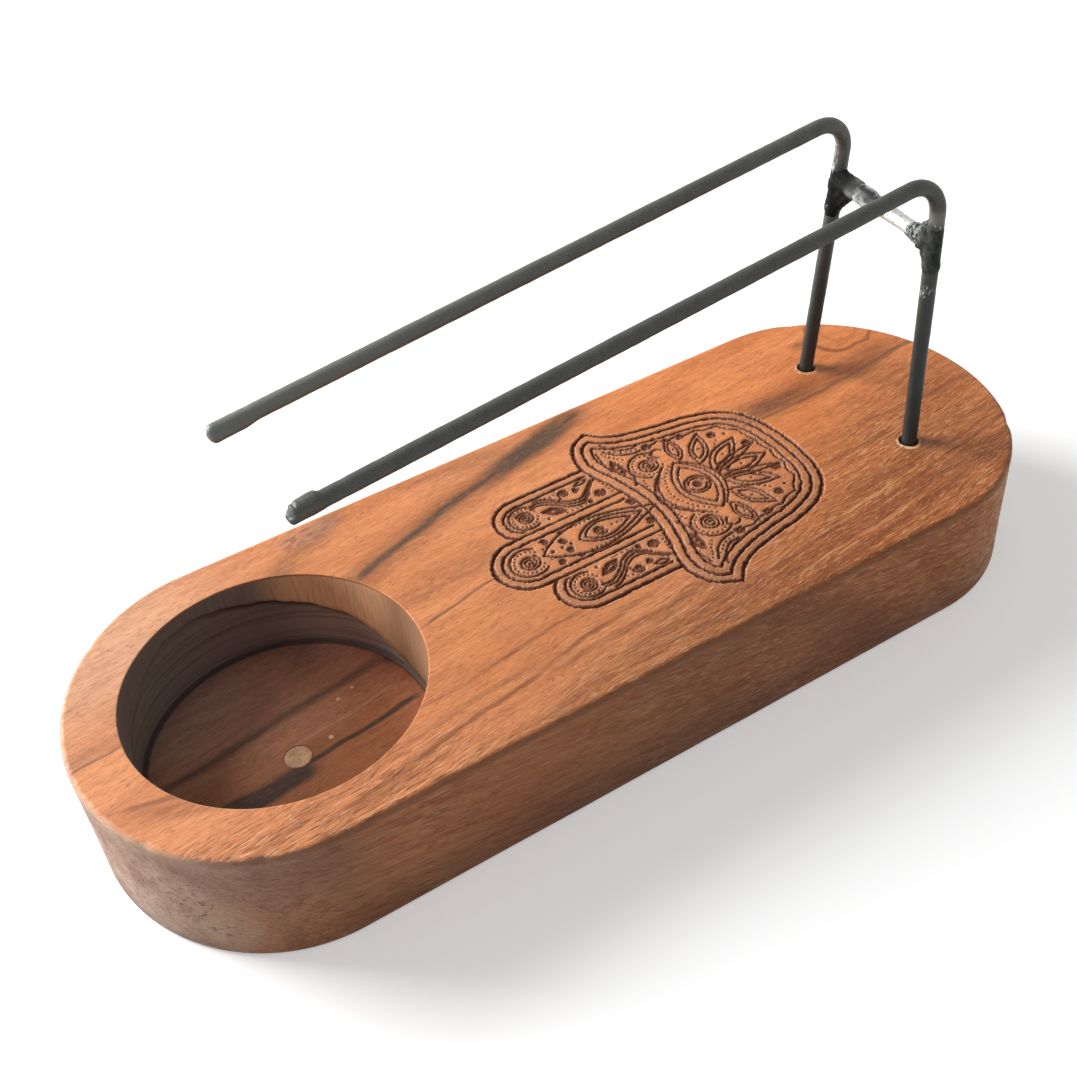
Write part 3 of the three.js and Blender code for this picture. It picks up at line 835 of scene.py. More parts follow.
def bar_patches(settings):
    """The cross bar, its ends inside the weld beads. Weld metal has thickened its left half;
    grinding has left a slight flat on it. Its mark tells how bright each point is."""
    radius = settings.wire_radius / MM
    start, end = bar_joint(LEFT_WIRE), bar_joint(RIGHT_WIRE)
    line = start + (end - start) * np.linspace(0.03, 0.97, 90)[:, None]
    place = travelled(line)[:, None]
    angle = np.linspace(0, 2 * math.pi, WIRE_AROUND, endpoint=False)[None]
    girth = radius + 0.012 * scale_ripple(place[:, 0], angle[0], 11)
    girth += 0.36 * smooth_step(9.5, 6.0, place) * smooth_step(2.5, 5.2, place)
    girth -= 0.12 * bell(place, 14.5, 2.8) * smooth_step(0.55, 1, np.cos(angle - math.radians(60)))
    rings = tube(line, girth, (1.0, 0.0, 0.0))
    outward = rings - line[:, None]
    facing = outward @ GROUND_SIDE / girth
    bright = smooth_step(7.0, 12.5, place) * smooth_step(-0.5, 0.3, facing)
    bright = np.maximum(bright, 0.75 * bell(facing, 0.4, 0.4) * smooth_step(1.5, 4.0, place))
    return closed(rings, line[-1], line[0]), {"bright": capped(bright)}


def taper_distance(place, start, end, first, last):
    """Distance to a round bar between two points whose radius changes evenly."""
    along = end - start
    share = np.clip((place - start) @ along / (along @ along), 0, 1)
    radius = first + (last - first) * share
    return np.linalg.norm(place - start - share[..., None] * along, axis=-1) - radius


def soft_least(parts, soft):
    """The least of several distances, rounded where two are within soft of each other: the
    lesser of the two, less a quarter of soft times the square of how near they are."""
    whole = parts[0]
    for part in parts[1:]:
        near = np.clip(1 - np.abs(whole - part) / soft, 0, 1)
        whole = np.minimum(whole, part) - near ** 2 * soft / 4
    return whole


# The metal of each weld: tapered bars (start, end, first and last radius) and lumps (centre,
# radius). A place is its distances from the joint along the cross bar, up the leg and forward.
LEFT_WELD = (
    [((0, 0.9), (0, -4.6), 1.22, 1.26), ((0, -4.6), (0, -6.4), 1.26, 1.03),
     ((0.7, 0.1), (4.2, 0), 1.44, 1.48), ((3.6, 0), (6.4, 0), 1.5, 1.1),
     ((3.3, -1.2), (0.6, -4.6), 0.8, 0.75), ((1.6, -1.2), (0.5, -3.4), 1.0, 0.9)],
    [((0.1, -5.4, 0.3), 0.9), ((1.0, 0.9), 0.8), ((-0.15, -1.0, 0.3), 1.0)],
)
RIGHT_WELD = (
    [((0, 2.2), (0, -3.4), 1.2, 1.21), ((0, -3.4), (0, -5.2), 1.21, 0.9),
     ((0.8, -0.2), (4.6, 0), 1.35, 1.16), ((3.0, 0.5), (0.75, 3.1), 0.72, 0.62),
     ((2.0, -0.8), (0.6, -3.6), 0.8, 0.7)],
    [((3.4, 0.65, 0.2), 0.85), ((1.6, 1.55, 0.3), 0.95), ((1.9, -0.7, 0.7), 0.8),
     ((3.1, -0.2, 0.6), 0.75), ((1.3, 0.5, 0.8), 0.7)],
)
WELD_SOFTNESS = 0.45  # how far apart two of its parts still flow together
WELD_REACH = 9.0  # no bead's surface lies further than this from its middle
HALVINGS = 22


def weld_patches(wire, other, right):
    """A weld bead that wraps a leg and the bar's end. Its surface is where a soft union of
    tapered bars and lumps is zero, found along rays from its middle by halving. Its mark
    tells how bright each point is."""
    joint = bar_joint(wire)
    along = bar_joint(other) - joint
    along /= np.linalg.norm(along)
    leg = wire[2] - wire[1]
    leg /= np.linalg.norm(leg)
    across = np.cross(leg, along)
    side = np.cross(across, leg)
    backward = across * np.sign(across[0])

    def spot(reach, rise, front=0.0):
        """A place given by its distances from the joint along the bar, up the leg and forward."""
        return joint + along * reach + leg * rise - backward * front

    bars, lumps = RIGHT_WELD if right else LEFT_WELD
    bars = [(spot(*start), spot(*end), first, last) for start, end, first, last in bars]
    lumps = [(spot(*centre), radius) for centre, radius in lumps]
    middle = spot(0.6, -1.0)
    polar = np.linspace(0, math.pi, 84)[1:-1, None]
    turn = np.linspace(0, 2 * math.pi, 90, endpoint=False)
    rays = (np.cos(polar)[..., None] * -leg + np.sin(polar)[..., None]
            * (np.cos(turn)[:, None] * side + np.sin(turn)[:, None] * across))

    def field(reach):
        """Distance to the soft union of all bars and lumps, roughened by small waves."""
        place = middle + rays * reach[..., None]
        parts = [taper_distance(place, *bar) for bar in bars]
        parts += [np.linalg.norm(place - centre, axis=-1) - radius for centre, radius in lumps]
        waves = np.sin(place @ (2.9, 1.3, 2.1)) * np.sin(place @ (-1.7, 3.3, 1.9))
        waves += 0.6 * np.sin(place @ (4.3, -3.1, 5.2))
        bumps = smooth_step(0.6, 1.8, (place - joint) @ along) if right else 0.5
        return soft_least(parts, WELD_SOFTNESS) + 0.05 * bumps * waves

    near, far = np.zeros(rays.shape[:2]), np.full(rays.shape[:2], WELD_REACH)
    for _ in range(HALVINGS):
        half = (near + far) / 2
        inside = field(half) < 0
        near, far = np.where(inside, half, near), np.where(inside, far, half)
    rings = (middle + rays * near[..., None])[::-1]
    reach, rise = (rings - joint) @ along, (rings - joint) @ leg
    if right:
        bright = smooth_step(0.9, 2.6, reach) * smooth_step(-3.4, -1.0, rise)
    else:
        facing = ((rings - joint) - reach[..., None] * along) @ GROUND_SIDE
        bright = 0.8 * smooth_step(2.8, 4.2, reach) * bell(facing, 0.75, 0.6)
        bright = np.maximum(bright, smooth_step(-0.5, -1.0, reach) * smooth_step(-4.0, -5.0, rise))
    return closed(rings, rings[-1].mean(0), rings[0].mean(0)), {"bright": capped(bright)}


def plug_patches():
    """The plug's turned face: a shallow dome of end grain with an eased edge."""
    foot = PLUG_HOLE_FLOOR + 0.02
    face = [(0.985, -0.05), (0.94, -0.012), (0.86, 0.0), (0.6, 0.02), (0.3, 0.03)]
    profile = [(1, foot), (1, 4.0), (1, FLOOR - 0.12)] + [(share, FLOOR + rise) for share, rise in face]
    rings = np.stack([circle(PLUG, PLUG_RADIUS * share, height, PLUG_AROUND) for share, height in profile])
    return closed(rings, (*PLUG, FLOOR + 0.035), (*PLUG, foot))


# ---- Materials ------------------------------------------------------------------------------


def fill(tree, node, inputs):
    """Sets a node's inputs from (name or number, value or socket) pairs."""
    for key, value in inputs:
        if isinstance(value, bpy.types.NodeSocket):
            tree.links.new(value, node.inputs[key])
        else:
            node.inputs[key].default_value = value


def put(tree, kind, inputs=(), **settings):
    """Adds a shader node. Inputs are (name or number, value or socket) pairs."""
    node = tree.nodes.new(kind)
    for name, value in settings.items():
        setattr(node, name, value)
    fill(tree, node, inputs)
    return node


def maths(tree, operation, *values, clamp=False):
    """One Math node's result."""
    return put(tree, "ShaderNodeMath", enumerate(values), operation=operation, use_clamp=clamp).outputs[0]


def times(tree, first, *others):
    """The product of two or more values."""
    for other in others:
        first = maths(tree, "MULTIPLY", first, other)
    return first


def inverse(tree, value):
    """1 less the value."""
    return maths(tree, "SUBTRACT", 1.0, value)


def strongest(tree, masks):
    """The greatest of several masks at each place."""
    whole, *others = masks
    for mask in others:
        whole = maths(tree, "MAXIMUM", whole, mask)
    return whole


def split(tree, vector):
    """The X, Y and Z of a vector."""
    return put(tree, "ShaderNodeSeparateXYZ", [(0, vector)]).outputs


def vector_maths(tree, operation, *vectors):
    """One Vector Math node with vectors as inputs. Gives its vector and its value."""
    return put(tree, "ShaderNodeVectorMath", enumerate(vectors), operation=operation).outputs


def spread(tree, value, low, high, to_low=0.0, to_high=1.0):
    """A value carried from one range to another along a smooth step."""
    pairs = [("Value", value), ("From Min", low), ("From Max", high), ("To Min", to_low),
             ("To Max", to_high)]
    return put(tree, "ShaderNodeMapRange", pairs, interpolation_type="SMOOTHSTEP").outputs["Result"]


def rising(tree, value, middle, half):
    """0 to 1 along a smooth step, from a middle less a half width to the middle plus it."""
    return spread(tree, value, maths(tree, "SUBTRACT", middle, half), maths(tree, "ADD", middle, half))


def blend(tree, share, first, second, blend_type="MIX"):
    """One colour laid over another."""
    node = put(tree, "ShaderNodeMix", data_type="RGBA", blend_type=blend_type)
    fill(tree, node, [(0, share), (6, first), (7, second)])
    return node.outputs[2]


def layered(tree, tint, layers):
    """A colour with others laid over it in turn, from rows of mask, strength and colour, with
    the blend type where it isn't the plain one."""
    for mask, strength, over, *blend_type in layers:
        share = mask if strength == 1 else times(tree, mask, strength)
        tint = blend(tree, share, tint, over, *blend_type)
    return tint


def scaled(tint, factor):
    """A colour made darker or lighter by one factor."""
    return tuple(factor * channel for channel in tint[:3]) + (1.0,)


def grey(level):
    """A grey, or a factor for all three channels."""
    return (level, level, level, 1.0)


def noise(tree, place, stretch, detail=2.0, roughness=0.5):
    """Noise drawn out by three factors: the larger a factor, the finer the noise along it."""
    drawn_out = vector_maths(tree, "MULTIPLY", place, stretch)[0]
    pairs = [("Vector", drawn_out), ("Scale", 1.0), ("Detail", detail), ("Roughness", roughness)]
    return put(tree, "ShaderNodeTexNoise", pairs).outputs["Fac"]


def stretched(tree, place, x, y, z):
    """The place scaled by three factors."""
    return vector_maths(tree, "MULTIPLY", place, (x, y, z))[0]


def mark_value(tree, name):
    """A value that the mesh carries at its points."""
    return put(tree, "ShaderNodeAttribute", attribute_name=name).outputs["Fac"]


def far_from(tree, place, point):
    """Distance between the place and a point."""
    return vector_maths(tree, "DISTANCE", place, tuple(float(value) for value in point))["Value"]


def near_spots(tree, place, spots):
    """A mask about each of several points: 1 inside about half its reach, 0 past it."""
    return strongest(tree, [
        spread(tree, far_from(tree, place, centre), 0.45 * reach, reach, 1.0, 0.0)
        for centre, reach in spots
    ])


def new_group(name, inputs, outputs):
    """An empty node group that takes a place and the inputs, each with its default, and gives
    the named values."""
    group = bpy.data.node_groups.new(name, "ShaderNodeTree")
    for label, default in {"Place": (0, 0, 0), **inputs}.items():
        kind = "NodeSocketVector" if isinstance(default, tuple) else "NodeSocketFloat"
        group.interface.new_socket(label, in_out="INPUT", socket_type=kind).default_value = default
    for label in outputs:
        group.interface.new_socket(label, in_out="OUTPUT", socket_type="NodeSocketFloat")
    return group, put(group, "NodeGroupInput").outputs, put(group, "NodeGroupOutput")


def build_streak_group():
    """A streak in the wood. Its middle follows a cubic of x over 20 mm and leans with the
    height; it fades at both ends and is broken up along the grain."""
    inputs = {"Level": 0, "Slope": 0, "Bow": 0, "Twist": 0, "Lean": 0, "Start": -80, "End": 80, "Fade": 3,
              "Half Width": 1, "Softness": 0.5, "Break Up": 0.4}
    group, given, made = new_group("wood streak", inputs, ["Mask"])
    axes = split(group, given["Place"])
    share = times(group, axes["X"], 1 / STREAK_SPAN)
    middle = given["Twist"]
    for name in ("Bow", "Slope", "Level"):
        middle = maths(group, "MULTIPLY_ADD", middle, share, given[name])
    middle = maths(group, "MULTIPLY_ADD", maths(group, "SUBTRACT", axes["Z"], TOP), given["Lean"], middle)
    off = maths(group, "ABSOLUTE", maths(group, "SUBTRACT", axes["Y"], middle))
    broken = noise(group, given["Place"], (0.12, 1.1, 1.1), 3.0)
    lost = times(group, given["Break Up"], inverse(group, spread(group, broken, 0.3, 0.6)))
    mask = times(group, inverse(group, rising(group, off, given["Half Width"], given["Softness"])),
                 rising(group, axes["X"], given["Start"], given["Fade"]),
                 inverse(group, rising(group, axes["X"], given["End"], given["Fade"])),
                 inverse(group, lost))
    fill(group, made, [("Mask", mask)])
    return group


def build_grain_group():
    """Straight wood grain along X: soft broad bands, thin lines, and fibres for relief."""
    group, given, made = new_group("wood grain", {"Along": 1, "Across": 1}, ["Bands", "Lines", "Fibres"])
    along, across = given["Along"], given["Across"]
    scale = put(group, "ShaderNodeCombineXYZ", [(0, along), (1, across), (2, across)]).outputs[0]
    place = vector_maths(group, "MULTIPLY", given["Place"], scale)[0]
    bands = noise(group, place, (0.012, 0.11, 0.11), 3.0, 0.55)
    lines = noise(group, place, (0.03, 0.95, 0.95), 4.0, 0.62)
    fill(group, made, [("Bands", spread(group, bands, 0.34, 0.66)),
                       ("Lines", spread(group, lines, 0.36, 0.68)),
                       ("Fibres", noise(group, place, (0.22, 5.5, 5.5), 3.0, 0.6))])
    return group


def build_fleck_group():
    """Short flecks, such as open pores in wood or nicks in steel: noise drawn out by three
    factors, cut off above a threshold."""
    inputs = {"Stretch": (0.4, 3.0, 3.0), "Threshold": 0.68, "Softness": 0.03}
    group, given, made = new_group("flecks", inputs, ["Mask"])
    value = noise(group, given["Place"], given["Stretch"], 1.5, 0.4)
    fill(group, made, [("Mask", rising(group, value, given["Threshold"], given["Softness"]))])
    return group


def build_mottle_group():
    """Cloudy patches at two scales, for uneven tone and gloss."""
    group, given, made = new_group("mottle", {"Size": 5.0}, ["Cloud", "Grit"])
    scale = maths(group, "DIVIDE", 1.0, given["Size"])
    cloud = noise(group, given["Place"], scale, 3.0, 0.55)
    grit = noise(group, given["Place"], times(group, scale, 14.0), 3.0, 0.6)
    fill(group, made, [("Cloud", spread(group, cloud, 0.3, 0.7)), ("Grit", grit)])
    return group


def place_group(tree, name, inputs):
    """A built node group placed in a tree."""
    node = tree.nodes.new("ShaderNodeGroup")
    node.node_tree = bpy.data.node_groups[name]
    fill(tree, node, inputs)
    return node.outputs


def flecks(tree, place, stretch, threshold, softness=0.03):
    """Mask of short flecks; higher thresholds leave fewer of them."""
    return place_group(tree, "flecks", [("Place", place), ("Stretch", stretch), ("Threshold", threshold),
                                        ("Softness", softness)])["Mask"]


def mottled(tree, place, size):
    """Cloud and Grit of the mottle, for patches of about this size."""
    return place_group(tree, "mottle", [("Place", place), ("Size", size)])


def emboss(tree, shader, height, strength, depth):
    """Gives a shader relief from a height; the depth is in millimetres."""
    bump = put(tree, "ShaderNodeBump", [("Strength", strength), ("Distance", depth * MM),
                                        ("Height", height)])
    tree.links.new(bump.outputs[0], shader.inputs["Normal"])


def start_material(name):
    """A new material with its shader, and the object's own coordinates in millimetres."""
    material = bpy.data.materials.new(name)
    material.use_nodes = True
    tree = material.node_tree
    shader = tree.nodes["Principled BSDF"]
    place = put(tree, "ShaderNodeMapping", [("Vector", put(tree, "ShaderNodeTexCoord").outputs["Object"]),
                                            ("Scale", (1 / MM, 1 / MM, 1 / MM))]).outputs[0]
    return material, tree, shader, place


STREAK_SPAN = 20.0  # the streaks' cubics take x over this length
# Streaks of the wood. Each row: points on the deck that the streak's middle runs through, its
# lean, start, end, fade, half width, softness, break-up and strength
LONG_STREAK = [(-28.5, 11), (-20, 14.3), (-10, 17.7), (0, 20.3), (8, 23.5), (14, 25.5), (22, 27.5)]
DARK_STREAKS = [
    (LONG_STREAK, 0.25, -29, 18, 1.5, 0.75, 0.6, 0.1, 0.9),
    (LONG_STREAK, 0.25, -2, 16, 5.0, 2.2, 1.1, 0.12, 0.9),
    ([(-6, 19.4), (4, 22.6), (16, 27.6)], 0.25, 0, 15, 4.0, 0.7, 0.7, 0.2, 1.0),
    ([(-66, 7.3), (-42, 10.2), (-28, 12)], 0.25, -66, -30.0, 2.6, 0.7, 0.9, 0.25, 0.8),
    ([(-44, 17.5), (-36, 20.5), (-26, 26.5)], 0.2, -41, -24, 3.0, 2.2, 1.8, 0.8, 0.42),
    ([(-14, 25.5), (6, 25.5)], 0.2, -14, 4, 4.0, 2.0, 1.6, 0.8, 0.35),
    ([(-26.6, -2.5), (-20, -1.4), (-12, 0.1)], -0.03, -26, -10, 2.5, 0.26, 0.2, 0.25, 0.75),
    ([(-57, -5.5), (-45, -4.2), (-28, -2.0)], -0.03, -58, -28, 1.5, 0.45, 0.3, 0.15, 0.95),
    ([(-57, -6.0), (-50, -5.6), (-44, -4.6)], -0.03, -60, -46, 1.5, 1.7, 0.6, 0.12, 0.95),
    ([(38, 6.5), (48, 6.9), (60, 8.2), (76, 9.2)], -0.03, 39, 90, 2.0, 0.4, 0.4, 0.3, 0.6),
    ([(34, 7.4), (44, 8.2), (52, 9.2), (60, 10.6)], 0.1, 37, 52, 4.0, 1.5, 1.2, 0.35, 0.5),
    ([(36, 6.4), (44, 6.6), (52, 7.4)], 0.0, 36, 52, 3.0, 0.45, 0.35, 0.6, 0.6),
    ([(-80, 0.4), (-68, 1.5)], 0.05, -90, -67, 1.0, 0.24, 0.2, 0.2, 0.75),
    ([(-80, 1.8), (-68, 2.6)], 0.05, -90, -67, 1.0, 1.2, 1.0, 0.6, 0.3),
    ([(56, 19.2), (62, 18.6)], 0.0, 57, 61, 1.2, 0.9, 0.7, 0.3, 0.6),
]
BROWN_STREAKS = [
    (LONG_STREAK, 0.25, -30, 20, 4.0, 2.6, 2.0, 0.25, 0.62),
    ([(-27, 2.6), (-12, 4.2)], 0.0, -28, -8, 4.0, 1.6, 1.3, 0.5, 0.4),
    ([(-70, -9.4), (-64, -10.6)], 0.1, -72, -64, 1.5, 0.5, 0.4, 0.2, 0.7),
    ([(-70, -11.4), (-62, -14.0)], 0.1, -70, -60, 3.0, 1.4, 1.0, 0.5, 0.5),
    ([(-52, -25), (-40, -23.2), (-20, -20), (0, -16.4)], 0.1, -52, 2, 5.0, 0.42, 0.35, 0.5, 0.75),
    ([(-62, -25), (-50, -22.4), (-38, -20.3), (-15, -17.4)], 0.1, -62, -14, 6.0, 0.6, 0.5, 0.7, 0.5),
    ([(-50, -25.6), (-36, -23.8)], 0.1, -52, -34, 4.0, 1.2, 0.9, 0.6, 0.5),
    ([(-34, -15.6), (-20, -14.7), (-5, -12.6)], 0.0, -34, -6, 4.0, 0.3, 0.25, 0.6, 0.7),
    ([(-20, -26), (10, -24.4)], 0.1, -24, 14, 8.0, 0.7, 0.6, 0.7, 0.6),
    ([(-14, -20.5), (10, -18.6)], 0.1, -16, 12, 6.0, 0.5, 0.45, 0.6, 0.6),
    ([(-6, -23.4), (16, -21.2)], 0.1, -8, 20, 6.0, 0.8, 0.7, 0.6, 0.6),
    ([(14, -21.4), (30, -20.4), (44, -19), (60, -16.4), (76, -14)], 0.15, 18, 90, 4.0, 0.4, 0.3, 0.4, 0.9),
    ([(14, -24.4), (30, -22.4), (48, -20.2), (76, -17)], 0.15, 16, 90, 8.0, 1.0, 0.8, 0.6, 0.75),
    ([(14, -27.6), (34, -25.2), (50, -22.6), (76, -20)], 0.15, 8, 90, 8.0, 0.8, 0.7, 0.6, 0.8),
    ([(30, -16.6), (50, -14.4), (70, -12.4)], 0.1, 36, 90, 6.0, 1.5, 1.3, 0.8, 0.55),
    ([(38, -8.2), (52, -7.6)], 0.0, 38, 56, 3.0, 0.4, 0.35, 0.5, 0.6),
    ([(52, -11.5), (66, -11)], 0.0, 53, 66, 4.0, 1.6, 1.4, 0.7, 0.5),
    ([(44, -3.4), (76, -4.2)], 0.0, 44, 90, 6.0, 0.5, 0.45, 0.7, 0.5),
    ([(40, 9.6), (50, 9.2), (60, 9.9), (72, 10.4)], 0.1, 38, 71, 6.0, 2.1, 1.8, 0.4, 0.8),
    ([(40, 6.5), (50, 6.9), (62, 8.2)], 0.0, 40, 76, 6.0, 1.3, 1.1, 0.4, 0.5),
]
PALE_STREAKS = [
    ([(-46, 0.2), (-30, 2.5)], 0.0, -46, -30, 1.5, 0.25, 0.2, 0.4, 0.5),
    ([(20, -20.7), (36, -19.6)], 0.0, 20, 37, 2.0, 0.16, 0.15, 0.9, 0.5),
    ([(20, -24.6), (45, -22.2)], 0.0, 24, 46, 3.0, 0.15, 0.14, 0.9, 0.5),
    ([(36, -18.4), (52, -16.2)], 0.0, 37, 52, 2.0, 0.15, 0.14, 0.9, 0.5),
]

# The fibres climb to the left and dip to the back
GRAIN_TILT = (0.0, math.radians(-8), math.radians(-6))
# Darker brown over the deck's near right: partly the wood's own tone, partly painted shade
NEAR_BROWN_AND_SHADE = (0.29, 0.10, 0.022, 1)
# Pale colour: painted sheen over the deck's far left, and wear with painted highlight on the front top edge
PALE_SHEEN_AND_WEAR = (0.74, 0.48, 0.33, 1)
PALE_PORE = (0.80, 0.48, 0.28, 1)
# Dark brown: a thin dark line under the near top edge, and painted shade inside the leg holes
DARK_LINE_AND_HOLE_SHADE = (0.22, 0.085, 0.04, 1)
FLANK_BROWN = (0.115, 0.066, 0.045, 1)
# Pale wood: chips round the leg holes, and the fringe beside the grooves, partly fuzz of cut fibres and
# partly painted highlight
PALE_CHIP_AND_HIGHLIGHT = (0.85, 0.60, 0.42, 1)
TORN_GREY = (0.40, 0.25, 0.19, 1)
HAZE_BROWN = (0.33, 0.145, 0.075, 1)
END_GREY = (0.50, 0.36, 0.27, 1)
END_BROWN = (0.20, 0.115, 0.075, 1)
END_TAN = (0.44, 0.27, 0.15, 1)
FOOT_GREY = (0.13, 0.12, 0.095, 1)
# Bowl colours, mostly painted light and shade: grey for the shaded wall, tan for the lit band, a shaded and
# a lit lower wall, and a lit outer floor
SHADED_WALL_GREY = (0.215, 0.19, 0.175, 1)
LIT_BAND_TAN = (1.0, 0.56, 0.31, 1)
SHADED_LOW_WALL = (0.21, 0.165, 0.16, 1)
LIT_WALL = (0.42, 0.31, 0.275, 1)
LIT_FLOOR = (1.45, 1.5, 1.9, 1)
# Near black: dark pits and turning rings, and painted shade in the bowl's corner, crease and under its band
DARK_MARKS_AND_SHADE = (0.022, 0.015, 0.013, 1)
# Floor tints for the bowl's far side, painted as in shade, and its near side, painted as lit
SHADED_FAR_FLOOR = (0.64, 0.75, 1.08, 1)
LIT_NEAR_FLOOR = (0.35, 0.31, 0.29, 1)
# Painted light: brightens the sides round the near side of the back end
PAINTED_BACK_LIGHT = (1.35, 1.45, 1.1, 1)
BACK_WARMTH = (1.12, 1.0, 0.82, 1)
PLUG_BROWN = (0.30, 0.15, 0.07, 1)
PLUG_TAN = (0.50, 0.28, 0.14, 1)
PLUG_PORE = (0.12, 0.06, 0.03, 1)
# Places with their reach: torn fibres beside the bowl (in the deck's stretched plan), the tan
# and the pitted wood of the front end, and the small pale specks in the bowl's floor
TORN_SPOT = ((-18.9, 40.0, TOP), 4.4)
TAN_PATCH = ((-66.6, -21.8, 7.0), 6.5)
PITTED = [((-69.3, -19.0, 9.5), 5.0), ((-73.4, -12.4, 11.7), 2.5), ((-66.5, -21.8, 6.0), 3.0)]
FLOOR_SPECKS = [((-38.1, 4.8, FLOOR), 0.45), ((-42.0, -1.2, FLOOR), 0.5), ((-35.4, 5.7, FLOOR), 0.35)]


def streak_masks(tree, place, streaks):
    """The strongest of several streaks at each place."""
    masks = []
    for points, lean, start, end, fade, width, soft, broken, strength in streaks:
        x, y = np.array(points, float).T
        terms = np.polyfit(x / STREAK_SPAN, y, min(3, len(points) - 1))[::-1]
        terms = np.concatenate([terms, np.zeros(4 - len(terms))])
        pairs = [("Place", place), ("Lean", lean), ("Start", start), ("End", end), ("Fade", fade),
                 ("Half Width", width), ("Softness", soft), ("Break Up", broken)]
        pairs += zip(("Level", "Slope", "Bow", "Twist"), (float(term) for term in terms))
        masks.append(times(tree, place_group(tree, "wood streak", pairs)["Mask"], strength))
    return strongest(tree, masks)


def wavy_place(tree, place):
    """The place moved sideways by slow waves, so that grain and streaks waver."""
    slow = noise(tree, place, (0.035, 0.05, 0.05), 2.0)
    quick = noise(tree, place, (0.16, 0.3, 0.3), 2.0)
    shift = maths(tree, "ADD", times(tree, maths(tree, "SUBTRACT", slow, 0.5), 3.4),
                  times(tree, maths(tree, "SUBTRACT", quick, 0.5), 0.9))
    offset = put(tree, "ShaderNodeCombineXYZ", [("Y", shift)]).outputs[0]
    return vector_maths(tree, "ADD", place, offset)[0]


